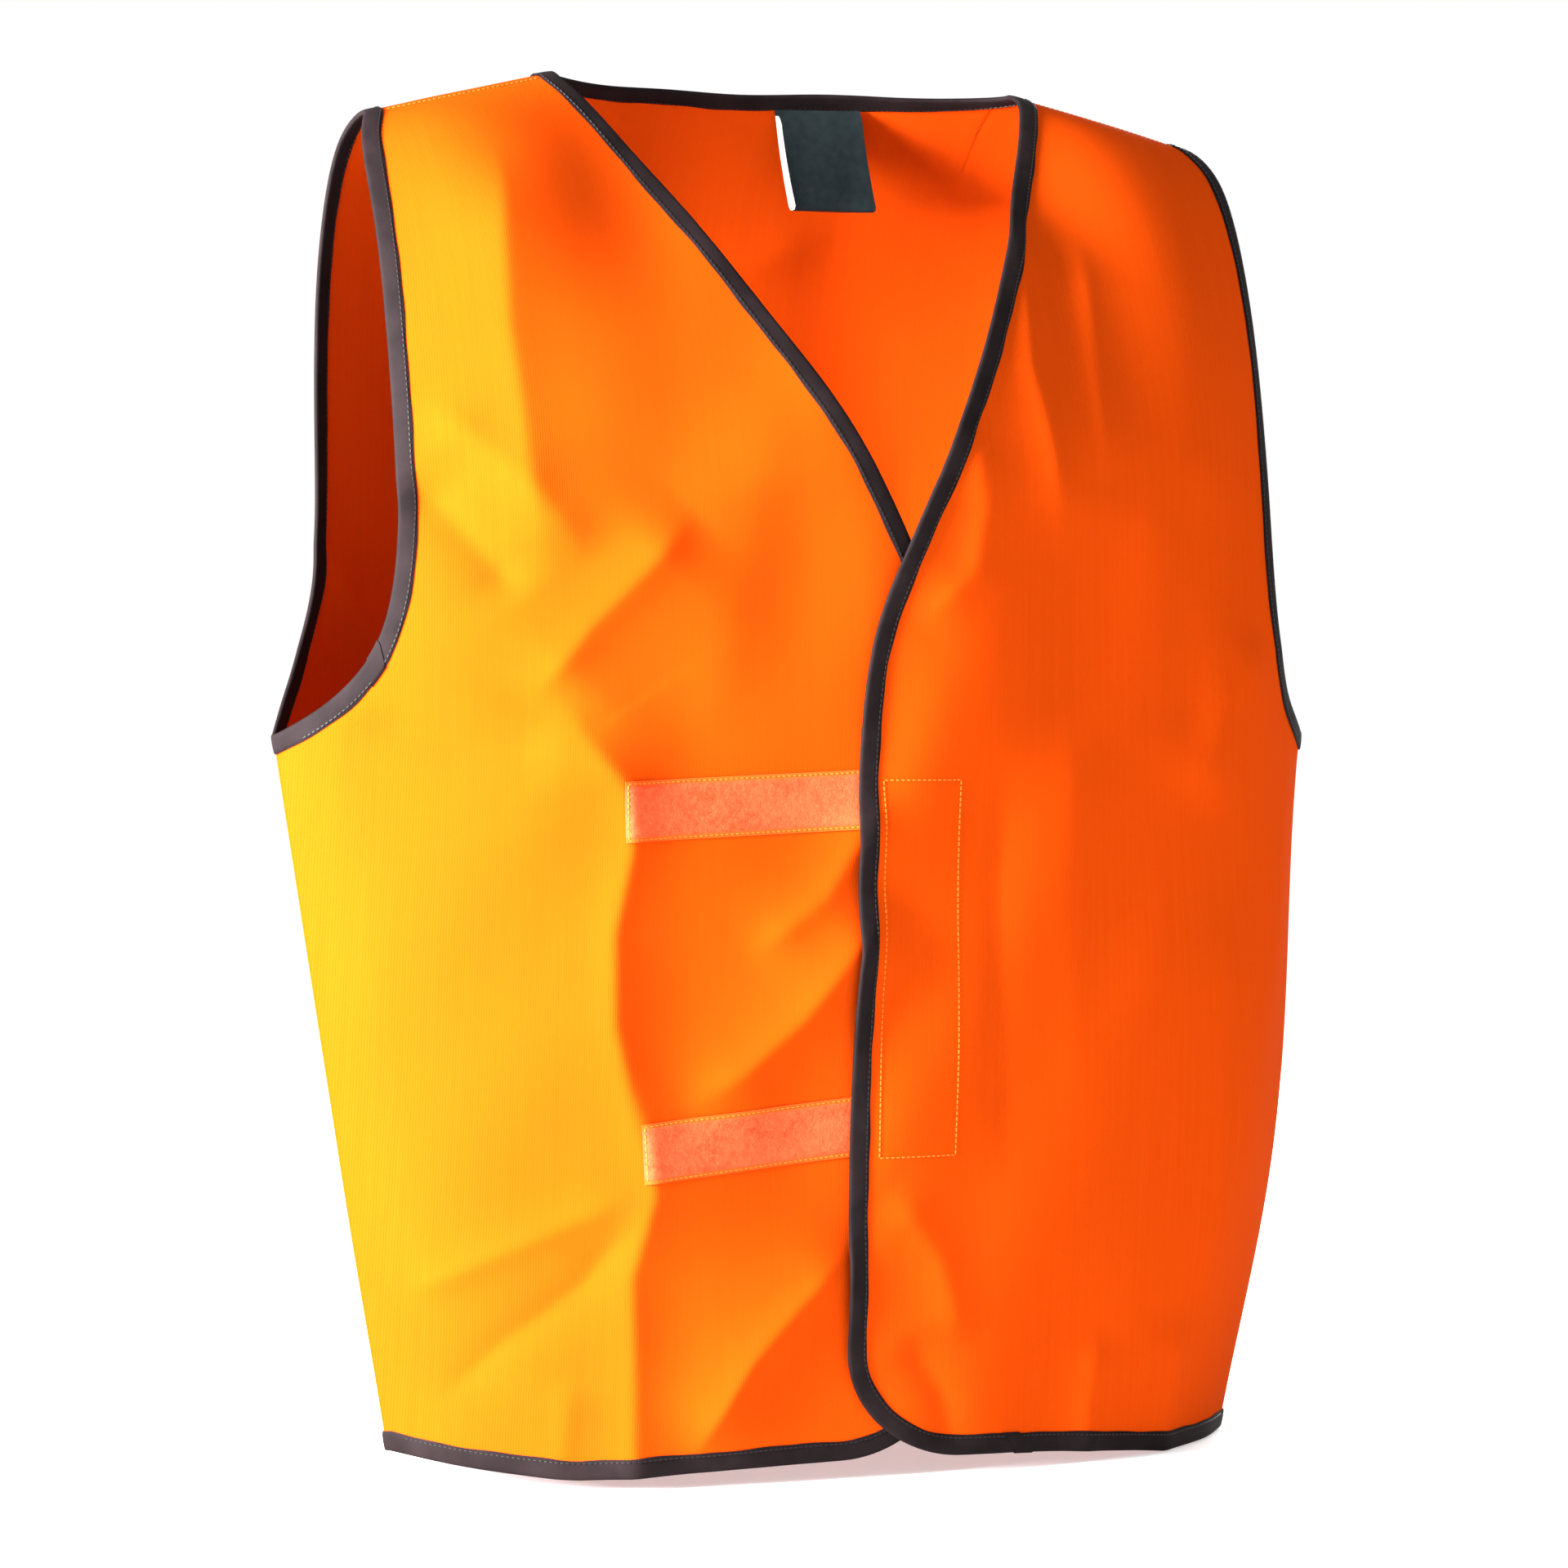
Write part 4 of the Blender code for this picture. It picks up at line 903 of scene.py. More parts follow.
def stitch_row(points, layer, off):
    """Points and faces of a row of stitches: one small flattened grain, copied at even distances along a
    line on the cloth, its length along the line and its height along the normal."""
    trim = bpy.context.scene.vest_trim
    world = place(points, layer, np.full(len(points), off))
    normals = outwards(points[:, 0], points[:, 1], layer) * np.sign(off)
    along = along_of(world)
    count = max(int(along[-1] / trim.stitch_pitch), 1)
    at = (np.arange(count) + 0.5) * along[-1] / count
    centre, up = between(at, along, world), unit(between(at, along, normals))
    run = unit(between(at + AIM_STEP, along, world) - between(at - AIM_STEP, along, world))
    across = np.cross(up, run)
    shape = (STITCH_SHAPE * [trim.stitch_length, THREAD_THICK, THREAD_THICK])[None]
    grains = centre[:, None] + run[:, None] * shape[..., :1] + across[:, None] * shape[..., 1:2]
    grains = grains + up[:, None] * shape[..., 2:]
    ring = np.arange(16).reshape(4, 4)
    after = np.roll(ring, -1, 1)
    walls = np.stack([ring[:-1], after[:-1], after[1:], ring[1:]], -1).reshape(-1, 4)
    one = np.concatenate([walls, ring[:1, ::-1], ring[-1:]])
    faces = (one[None] + 16 * np.arange(count)[:, None, None]).reshape(-1, 4)
    return grains.reshape(-1, 3), faces


def stitch_piece(name, rows, finish):
    """One object from several rows of stitches."""
    points, faces, begun = [], [], 0
    for row_points, row_faces in rows:
        points.append(row_points)
        faces.append(row_faces + begun)
        begun += len(row_points)
    return add_piece(name, np.concatenate(points), np.concatenate(faces), finish)


# Finishes


class Maths:
    """A shader value; sums with it add Math nodes."""

    def __init__(self, finish, socket):
        self.finish = finish
        self.socket = socket

    def made(self, operation, first, second=None):
        sockets = {0: first} if second is None else {0: first, 1: second}
        made = self.finish.node("ShaderNodeMath", {"operation": operation}, sockets)
        return Maths(self.finish, made.outputs[0])

    def __add__(self, other):
        return self.made("ADD", self, other)

    __radd__ = __add__

    def __sub__(self, other):
        return self.made("SUBTRACT", self, other)

    def __rsub__(self, other):
        return self.made("SUBTRACT", other, self)

    def __mul__(self, other):
        return self.made("MULTIPLY", self, other)

    __rmul__ = __mul__

    def __truediv__(self, other):
        return self.made("DIVIDE", self, other)

    def __pow__(self, other):
        return self.made("POWER", self, other)

    def __abs__(self):
        return self.made("ABSOLUTE", self)

    def part(self):
        """What is left after the whole number."""
        return self.made("FRACT", self)

    def held(self, low, high):
        """0 at low and 1 at high, straight between them and flat outside."""
        sockets = {"Value": self, "From Min": low, "From Max": high, "To Min": 0.0, "To Max": 1.0}
        made = self.finish.node("ShaderNodeMapRange", {"clamp": True}, sockets)
        return Maths(self.finish, made.outputs[0])


class Finish:
    """A material and the nodes in it."""

    def __init__(self, name):
        self.material = bpy.data.materials.new(name)
        self.material.use_nodes = True
        self.tree = self.material.node_tree
        self.tree.nodes.clear()
        self.output = self.node("ShaderNodeOutputMaterial")

    def node(self, kind, settings=None, sockets=None):
        """Adds a node: its settings first, then the values or links of its sockets."""
        made = self.tree.nodes.new(kind)
        for key, value in (settings or {}).items():
            setattr(made, key, value)
        for key, value in (sockets or {}).items():
            if isinstance(value, Maths):
                value = value.socket
            if isinstance(value, bpy.types.NodeSocket):
                self.tree.links.new(value, made.inputs[key])
            else:
                made.inputs[key].default_value = value
        return made

    def map(self):
        """The piece's own map in metres, as two values."""
        uv = self.node("ShaderNodeUVMap", {"uv_map": "cloth"})
        split = self.node("ShaderNodeSeparateXYZ", None, {0: uv.outputs[0]})
        return Maths(self, split.outputs[0]), Maths(self, split.outputs[1])

    def place(self):
        return self.node("ShaderNodeTexCoord").outputs["Object"]

    def noise(self, scale, detail=3.0, vector=None, roughness=0.5):
        sockets = {"Vector": vector or self.place(), "Scale": scale, "Detail": detail, "Roughness": roughness}
        return Maths(self, self.node("ShaderNodeTexNoise", None, sockets).outputs["Fac"])

    def mix(self, share, first, second):
        """A colour between two, by share; 0, 6 and 7 are the share and the two colours among its sockets."""
        sockets = {0: share, 6: first, 7: second}
        return self.node("ShaderNodeMix", {"data_type": "RGBA"}, sockets).outputs[2]

    def bump(self, height, strength, distance):
        sockets = {"Strength": strength, "Distance": distance, "Height": height}
        return self.node("ShaderNodeBump", None, sockets).outputs[0]

    def surface(self, **sockets):
        named = {key.replace("_", " "): value for key, value in sockets.items()}
        return self.node("ShaderNodeBsdfPrincipled", None, named).outputs[0]

    def done(self, shader):
        self.tree.links.new(shader, self.output.inputs["Surface"])
        return self.material


def shade(colour, share):
    """A colour made darker or lighter, with full opacity."""
    return (*[channel * share for channel in colour], 1.0)


def knit_finish():
    """Fluorescent warp knit: columns of small vees with a groove between columns, a tiny hole at each
    vee's foot, slow unevenness of colour, and light passing through."""
    cloth = bpy.context.scene.vest_cloth
    finish = Finish("vest_knit")
    u, v = finish.map()
    wale = abs((u / cloth.wale).part() - 0.5) * 2
    course = abs((v / cloth.course + wale * 0.5).part() - 0.5) * 2
    hole = (wale * course) ** 5.0
    height = 1 - 0.55 * wale ** 2.0 - 0.30 * course - 0.5 * hole
    slow = finish.noise(7.0, 2.0).held(0.30, 0.70)
    fuzz = finish.noise(900.0, 2.0)
    tone = finish.mix(slow, shade(cloth.colour, 0.97), shade(cloth.colour, 1.0))
    # painted shade: the grooves between the columns and the holes at the vees' feet are painted darker
    tone = finish.mix((0.30 * wale ** 3.0 + 0.40 * hole).held(0.0, 1.0), tone, shade(cloth.colour, 0.60))
    stretched = finish.node("ShaderNodeCombineXYZ", None, {0: u * 420.0, 1: v * 9.0}).outputs[0]
    streak = finish.noise(1.0, 2.0, stretched).held(0.30, 0.70) * 0.09
    tone = finish.mix(streak, tone, shade(cloth.colour, 0.45))
    knit = finish.surface(
        Base_Color=tone,
        Roughness=(0.52 + 0.08 * course + 0.06 * fuzz).held(0.0, 1.0),
        Specular_IOR_Level=0.001,
        Normal=finish.bump(height + 0.25 * fuzz, 0.35, 0.00020),
    )
    through = finish.node("ShaderNodeBsdfTranslucent", None, {"Color": (*cloth.glow, 1.0)}).outputs[0]
    return finish.done(finish.node("ShaderNodeMixShader", None, {0: 0.05, 1: knit, 2: through}).outputs[0])


def binding_finish():
    """Black polyester tape: fine slanting ribs, small puckers and a tone that wanders slowly."""
    trim = bpy.context.scene.vest_trim
    finish = Finish("vest_binding")
    u, v = finish.map()
    rib = abs(((u + v * 0.6) / 0.0007).part() - 0.5) * 2
    cross = abs((v / 0.0006).part() - 0.5) * 2
    slow = finish.noise(60.0, 3.0)
    pucker = finish.noise(260.0, 2.0)
    tone = finish.mix(slow.held(0.35, 0.75), shade(trim.binding, 1.0), shade(trim.binding, 1.7))
    tone = finish.mix(rib * 0.35, tone, shade(trim.binding, 0.55))
    return finish.done(finish.surface(
        Base_Color=tone, Roughness=(0.50 + 0.15 * slow).held(0.0, 1.0), Specular_IOR_Level=0.02,
        Normal=finish.bump(0.5 * rib + 0.3 * cross + 1.3 * pucker, 0.35, 0.00022),
    ))


def loop_finish():
    """Loop tape: a mottled nap of tiny loops between two flat, paler selvages."""
    trim = bpy.context.scene.vest_trim
    finish = Finish("vest_loop_tape")
    u, v = finish.map()
    edge = abs(v - TAPE_WIDTH / 2).held(TAPE_WIDTH / 2 - 0.0030, TAPE_WIDTH / 2 - 0.0018)
    clump = finish.noise(330.0, 4.0, roughness=0.65)
    tuft = finish.noise(1500.0, 2.0)
    cloudy = finish.noise(45.0, 3.0)
    nap = finish.mix(clump.held(0.36, 0.66), shade(trim.loop, 0.80), (0.66, 0.066, 0.020, 1.0))
    nap = finish.mix(cloudy.held(0.35, 0.70) * 0.5, nap, (0.68, 0.084, 0.030, 1.0))
    nap = finish.mix(tuft.held(0.55, 0.75) * 0.5, nap, (0.72, 0.150, 0.066, 1.0))
    tone = finish.mix(edge, nap, (0.60, 0.058, 0.006, 1.0))
    loft = (1.6 * clump + 0.9 * tuft) * (1 - edge) + edge * (u / 0.0008).part() * 0.4
    return finish.done(finish.surface(
        Base_Color=tone, Roughness=0.78, Specular_IOR_Level=0.06, Normal=finish.bump(loft, 0.55, 0.0004),
    ))


def hook_finish():
    """Hook tape: rows of tiny hooks, as round knobs on a flat ground."""
    trim = bpy.context.scene.vest_trim
    finish = Finish("vest_hook_tape")
    u, v = finish.map()
    across = abs((u / 0.0016).part() - 0.5) * 2
    along = abs((v / 0.0013).part() - 0.5) * 2
    knob = (1 - (across ** 2.0 + along ** 2.0)).held(0.1, 0.7)
    # painted shade: the ground between the knobs is painted darker than the knobs
    tone = finish.mix(knob, shade(trim.hook, 0.62), shade(trim.hook, 1.0))
    return finish.done(finish.surface(
        Base_Color=tone,
        Roughness=(0.5 - 0.15 * knob).held(0.0, 1.0),
        Normal=finish.bump(knob, 0.8, 0.0006),
    ))


def thread_finish(name, colour, lustre):
    """Twisted polyester thread with slightly uneven dye."""
    finish = Finish(name)
    uneven = finish.noise(400.0, 2.0)
    tone = finish.mix(uneven.held(0.35, 0.65), shade(colour, 0.80), shade(colour, 1.05))
    return finish.done(finish.surface(
        Base_Color=tone, Roughness=0.5, Specular_IOR_Level=lustre,
        Normal=finish.bump(finish.noise(3200.0, 1.0), 0.4, 0.0001),
    ))


def label_finish():
    """Printed satin: a dark face and a white reverse, with the fine ribs of the satin and a soft
    gloss."""
    trim = bpy.context.scene.vest_trim
    finish = Finish("vest_label")
    u, v = finish.map()
    outer_face = finish.node("ShaderNodeAttribute", {"attribute_name": "outer_face"})
    outer = Maths(finish, outer_face.outputs["Fac"])
    rib = abs((v / 0.00042).part() - 0.5) * 2
    grain = finish.noise(220.0, 3.0)
    face = finish.mix(grain.held(0.3, 0.7), shade(trim.label, 0.85), shade(trim.label, 1.25))
    tone = finish.mix(outer.held(0.35, 0.65), (0.80, 0.78, 0.76, 1.0), face)
    return finish.done(finish.surface(
        Base_Color=tone, Roughness=(0.40 + 0.10 * grain).held(0.0, 1.0), Specular_IOR_Level=0.05,
        Normal=finish.bump(rib + 0.4 * grain + abs((u / 0.0006).part() - 0.5), 0.25, 0.0001),
    ))


def floor_finish():
    """Plain pale floor, a little uneven so that it doesn't look poured."""
    finish = Finish("vest_floor")
    uneven = finish.noise(3.0, 2.0)
    tone = finish.mix(uneven, (0.62, 0.62, 0.62, 1.0), (0.66, 0.66, 0.66, 1.0))
    return finish.done(finish.surface(
        Base_Color=tone, Roughness=0.8, Specular_IOR_Level=0.1,
        Emission_Color=(1.0, 1.0, 1.0, 1.0), Emission_Strength=0.46,
    ))


def shared(name, maker, *values):
    """A finish by its name, made the first time it is asked for."""
    return bpy.data.materials.get(name) or maker(*values)


def fill(nodes):
    """Hides the nodes, if any, that a piece takes the place of."""
    if nodes:
        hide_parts(*nodes)


def ride_torso(piece, slot, *nodes):
    """Puts a piece on the torso and hides its nodes; its slot is not used."""
    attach(piece, "torso")
    fill(nodes)


def bend_at_fold(piece, name, slot, *nodes):
    """For a piece of the left or right front: works out its fold line's direction and the square to it,
    which nothing uses, bakes its transform into its mesh and hides the nodes it takes the place of."""
    layer = LAYERS[name]
    (top_x, top_z), (foot_x, foot_z) = FOLD_LINES[name]
    line = Vector((foot_x - top_x, 0.0, foot_z - top_z)).normalized()
    across = Vector((-line.z, 0.0, line.x))
    across *= -layer if across.x > 0 else layer
    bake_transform(piece)
    fill(nodes)


# Pieces


def cloth_sheet(name, points, layer):
    """A knit panel from its grid of (x, s) points, mapped by the same two numbers."""
    x, s = points[..., 0], points[..., 1]
    half = bpy.context.scene.vest_cloth.thickness / 2
    finish = shared("vest_knit", knit_finish)
    return shell(name, cloth_at(x, s, layer), outwards(x, s, layer), half, points, finish)


class VEST_OT_fronts(bpy.types.Operator):
    """Add the two knit fronts, each one sheet"""

    bl_idname = "vest.fronts"
    bl_label = "Fronts"

    def execute(self, context):
        u, v = np.meshgrid(np.linspace(0, 1, 121), np.linspace(0, 1, 241))
        pattern = front_pattern(u, v)
        for name, layer in LAYERS.items():
            piece = cloth_sheet(f"{name}_front", pattern * [layer, 1], layer)
            bend_at_fold(piece, name, "knit_mesh", f"{name}_front_side", f"{name}_front_flap")
        return {"FINISHED"}


class VEST_OT_back(bpy.types.Operator):
    """Add the knit back, one sheet that wraps over the shoulders"""

    bl_idname = "vest.back"
    bl_label = "Back"

    def execute(self, context):
        u, v = np.meshgrid(np.linspace(0, 1, 151), np.linspace(0, 1, 161))
        ride_torso(cloth_sheet("back", back_pattern(u, v), 0), "knit_mesh", "back_panel")
        return {"FINISHED"}


def front_binding_path(layer):
    """The whole edge of a front from the side seam along the hem, round the corner and up to the
    shoulder."""
    start = side_edge(-1)(START)
    hem = along_edge(hem_edge(start[0] - HEM_START, FRONT_EDGE[0, 0], -1))
    rise = along_edge(evenly(FRONT_EDGE))
    return np.concatenate([hem, rise[1:]]) * [layer, 1]


def back_hem_path():
    """The back's hem from the wearer's left side seam to the right one."""
    start = side_edge(1)(START)
    return along_edge(hem_edge(start[0] - HEM_START, -start[0] + HEM_START, 1))


def arm_path(side, layer):
    """The armhole's edge in front (side -1) or behind, from just above the armpit to the shoulder
    seam."""
    return along_edge(arm_edge(side), ARM_START) * [layer, 1]


class VEST_OT_binding(bpy.types.Operator):
    """Add the folded tape round the hem, fronts, neck and armholes"""

    bl_idname = "vest.binding"
    bl_label = "Edge binding"

    def execute(self, context):
        finish = shared("vest_binding", binding_finish)
        hem_seam = float(hem_z(HEM_X, 1))
        for name, layer in LAYERS.items():
            edge = folded_rings(front_binding_path(layer), layer, -layer, 3 + layer)
            rings = np.concatenate([seam_rings(hem_seam, 1, layer), edge])
            piece = carried(f"{name}_front_binding", rings, finish)
            bend_at_fold(piece, name, "binding_tape", f"{name}_edge_binding")

            front = folded_rings(arm_path(-1, layer)[::-1], layer, -layer, 7)
            back = folded_rings(arm_path(1, layer), 0, -layer, 8)
            rings = np.concatenate([front, seam_rings(ARMPIT_Z, -1, layer), back])
            piece = carried(f"{name}_armhole_binding", rings, finish, closed=True)
            ride_torso(piece, "binding_tape", f"{name}_arm_binding")

        hem = front_binding_path(1)
        near = int(np.argmin(np.abs(hem[: len(hem) // 2, 0] - LEFT_JOIN_X)))
        rings = join_rings(hem[near - JOIN_REACH : near + JOIN_REACH + 1], 1, -1)
        bend_at_fold(carried("hem_join", rings, finish), "left", "binding_tape")
        arm = arm_path(-1, -1)[::-1]
        near = int(np.argmin(np.abs(form(arm[:, 0], arm[:, 1])[:, 2] - ARM_JOIN_Z)))
        rings = join_rings(arm[near - JOIN_REACH : near + JOIN_REACH + 1], -1, 1)
        ride_torso(carried("armhole_join", rings, finish), "binding_tape")

        rings = folded_rings(back_hem_path(), 0, 1, 9)
        rings = np.concatenate([seam_rings(hem_seam, 1, 1), rings, seam_rings(hem_seam, 1, -1)])
        ride_torso(carried("back_hem_binding", rings, finish), "binding_tape", "hem_binding")
        rings = folded_rings(along_edge(evenly(back_neck())), 0, -1, 10)
        ride_torso(carried("back_neck_binding", rings, finish), "binding_tape", "neck_binding")
        return {"FINISHED"}


def binding_stitches(path, layer, inside):
    """Stitches just inside the lip of the folded tape, on its outer and its inner face."""
    line = path + inward(path, layer, inside) * (BINDING_WIDTH - BINDING_LIP_INSET)
    return [stitch_row(line, layer, off) for off in (BINDING_FACE, -BINDING_FACE)]


class VEST_OT_binding_stitches(bpy.types.Operator):
    """Add the small dark stitches that hold the edge binding"""

    bl_idname = "vest.binding_stitches"
    bl_label = "Binding stitches"

    def execute(self, context):
        colour = context.scene.vest_trim.binding_thread
        finish = shared("vest_dark_thread", thread_finish, "vest_dark_thread", colour, 0.15)
        for name, layer in LAYERS.items():
            rows = binding_stitches(front_binding_path(layer)[2:], layer, -layer)
            bend_at_fold(stitch_piece(f"{name}_front_binding_stitches", rows, finish), name, "thread")
        rows = []
        for layer in LAYERS.values():
            rows += binding_stitches(arm_path(-1, layer)[3:][::-1], layer, -layer)
            rows += binding_stitches(arm_path(1, layer)[3:], 0, -layer)
        rows += binding_stitches(back_hem_path()[2:-2], 0, 1)
        rows += binding_stitches(along_edge(evenly(back_neck()))[1:-1], 0, -1)
        ride_torso(stitch_piece("back_binding_stitches", rows, finish), "thread")
        return {"FINISHED"}


def tape_corners(outer_x, z, tilt):
    """Corners (x, z) of a loop tape on the right front, from its outer end, at a tilt in degrees."""
    along = np.array([math.cos(math.radians(tilt)), math.sin(math.radians(tilt))])
    square = np.array([-along[1], along[0]]) * TAPE_WIDTH / 2
    start = np.array([outer_x, z])
    end = start + along * (TAPE_INNER_X - outer_x) / along[0]
    return np.array([start - square, end - square, end + square, start + square])


LOOP_TAPES = {
    "upper_loop": tape_corners(-0.151, 0.337, 2.4),
    "lower_loop": tape_corners(-0.140, 0.168, 5.0),
}
HOOK_BOX = np.array([HOOK_X, HOOK_BOTTOM_Z]) + np.array([(0, 0), (1, 0), (1, 1), (0, 1)]) * [
    HOOK_WIDTH,
    HOOK_TOP_Z - HOOK_BOTTOM_Z,
]


def on_front(flat):
    """(x, s) points from (x, z) points of the front."""
    return np.stack([flat[..., 0], s_at(flat[..., 0], flat[..., 1], -1)], -1)


def tape_piece(name, corners, layer, side, finish, along, across):
    """A tape sewn flat on the cloth: a bilinear grid between four corners on one face of the cloth, given
    a crowned profile across, low at its selvages, and closed underneath; side is 1 outside and -1
    inside."""
    u, v = np.meshgrid(np.linspace(0, 1, along), np.linspace(0, 1, across), indexing="ij")
    u, v = u[..., None], v[..., None]
    flat = (1 - v) * ((1 - u) * corners[0] + u * corners[1]) + v * ((1 - u) * corners[3] + u * corners[2])
    points = on_front(flat)
    width, length = np.linalg.norm(corners[3] - corners[0]), np.linalg.norm(corners[1] - corners[0])
    edge = np.minimum(v[..., 0], 1 - v[..., 0]) * width
    ends = np.minimum(u[..., 0], 1 - u[..., 0]) * length
    rise = smooth((np.minimum(edge, ends) - SELVAGE) / SELVAGE_RISE)
    base = bpy.context.scene.vest_cloth.thickness / 2 + TAPE_GAP
    top = place(points, layer, side * (base + TAPE_THICK * (0.45 + 0.55 * rise)))
    low = place(points, layer, np.full(points.shape[:2], side * base))
    rings = np.concatenate([top, low[:, ::-1]], axis=1)
    piece = carried(name, rings, finish)
    map_across = np.concatenate([v[0, :, 0], v[0, ::-1, 0]]) * width
    uv = np.stack(np.broadcast_arrays(u[:, :1, 0] * length, map_across[None]), -1).reshape(-1, 2)
    index = np.empty(len(piece.data.loops), np.int32)
    piece.data.loops.foreach_get("vertex_index", index)
    piece.data.uv_layers[0].data.foreach_set("uv", uv[index].astype(np.float32).ravel())
    return piece


class VEST_OT_touch_tape(bpy.types.Operator):
    """Add the two loop tapes on the right front and the hook patch inside the left front"""

    bl_idname = "vest.touch_tape"
    bl_label = "Touch tape"

    def execute(self, context):
        for name, corners in LOOP_TAPES.items():
            piece = tape_piece(name, corners, -1, 1, shared("vest_loop_tape", loop_finish), 70, 21)
            bend_at_fold(piece, "right", "loop_tape", f"{name}_inner", f"{name}_outer")
        piece = tape_piece("hook_tape", HOOK_BOX, 1, -1, shared("vest_hook_tape", hook_finish), 25, 81)
        bend_at_fold(piece, "left", "hook_tape", "hook_patch")
        return {"FINISHED"}


def box_line(corners, inset):
    """(x, s) points of a rectangle's sides, drawn in by inset from a box of (x, z) corners."""
    middle = corners.mean(axis=0)
    size = np.abs(corners - middle)
    box = middle + (corners - middle) * (1 - inset / size)
    t = np.linspace(0, 1, 40)[:, None]
    return [on_front(start + (end - start) * t) for start, end in zip(box, np.roll(box, -1, axis=0))]


class VEST_OT_orange_stitches(bpy.types.Operator):
    """Add the orange topstitching of the touch tape and the shoulders"""

    bl_idname = "vest.orange_stitches"
    bl_label = "Orange stitching"

    def execute(self, context):
        colour = context.scene.vest_trim.thread
        finish = shared("vest_orange_thread", thread_finish, "vest_orange_thread", colour, 0.05)
        face = context.scene.vest_cloth.thickness / 2
        rows = [stitch_row(line, 1, face + THREAD_PROUD) for line in box_line(HOOK_BOX, STITCH_INSET)]
        bend_at_fold(stitch_piece("hook_tape_stitches", rows, finish), "left", "thread", "hook_stitching")

        rows = []
        for corners in LOOP_TAPES.values():
            top = face + TAPE_GAP + TAPE_THICK * 0.5
            rows += [stitch_row(line, -1, top) for line in box_line(corners, LOOP_STITCH_INSET)]
        bend_at_fold(stitch_piece("loop_tape_stitches", rows, finish), "right", "thread")

        tip, neck = arm_edge(-1)(END), FRONT_EDGE[-1]
        x = np.linspace(tip[0] - BINDING_WIDTH - 0.001, neck[0] + BINDING_WIDTH + 0.001, 60)
        line = np.stack([x, np.full(60, SHOULDER_STITCH_S)], -1)
        for name, side in LAYERS.items():
            row = stitch_row(line * [side, 1], side, face + THREAD_PROUD)
            piece = stitch_piece(f"{name}_shoulder_stitches", [row], finish)
            ride_torso(piece, "thread", f"{name}_shoulder_stitching")
        return {"FINISHED"}


def seam_roll(name, path, radius, finish):
    """A rolled seam: a circle of six points carried along a line, kept square to it."""
    run = unit(np.gradient(path, axis=0))
    side = unit(np.cross(run, [0.0, 1.0, 0.0]))
    over = np.cross(side, run)
    turn = np.linspace(0, 2 * math.pi, 6, endpoint=False)
    circle = np.cos(turn)[None, :, None] * side[:, None] + np.sin(turn)[None, :, None] * over[:, None]
    return carried(name, path[:, None] + radius * circle, finish)


class VEST_OT_seams(bpy.types.Operator):
    """Add the rolled side seams and shoulder seams"""

    bl_idname = "vest.seams"
    bl_label = "Seams"

    def execute(self, context):
        finish = shared("vest_knit", knit_finish)
        z = np.linspace(hem_z(HEM_X, 1) + 0.006, ARMPIT_Z - 0.006, 120)
        width = half_width(z)
        x = np.linspace(arm_edge(-1)(END)[0] - 0.003, FRONT_EDGE[-1, 0] + 0.003, 40)
        s = np.full(40, SHOULDER_SEAM_S + SEAM_GAP / 2)
        for name, hand in LAYERS.items():
            side_line = form(hand * width, s_at(width, z, 1)) - np.array([0.0006 * hand, 0, 0])
            shoulder_line = cloth_at(hand * x, s, 0)
            for kind, line, radius in (("side", side_line, 0.0009), ("shoulder", shoulder_line, 0.0005)):
                ride_torso(seam_roll(f"{name}_{kind}_seam", line, radius, finish), "knit_mesh")
        return {"FINISHED"}


def below_neckline(x, distance):
    """(x, s) points of the back at a distance below its neckline, over the given x."""
    top = back_neck()
    points = np.stack([x, np.interp(x, top[::-1, 0], top[::-1, 1])], -1)
    step = inward(points, 0, 1.0)
    return points + step * np.sign(step[:, 1:]) * distance


def label_frame():
    """The label's top line under the neckline's tape inside the back: its middle, its direction and its
    depth."""
    x = np.array([LABEL_X - LABEL_WIDTH / 2, LABEL_X + LABEL_WIDTH / 2])
    below = below_neckline(x, BINDING_WIDTH + LABEL_BELOW)
    inner = form(below[:, 0], below[:, 1]) - square_to(form, below[:, 0], below[:, 1]) * LABEL_INSIDE
    inner[:, 2] = inner[:, 2].min()
    along = inner[1] - inner[0]
    along /= np.linalg.norm(along)
    forward = np.cross(along, UP)
    forward *= -np.sign(forward[1])
    return inner.mean(0) + forward * 0.0006, along * np.sign(along[0]), forward


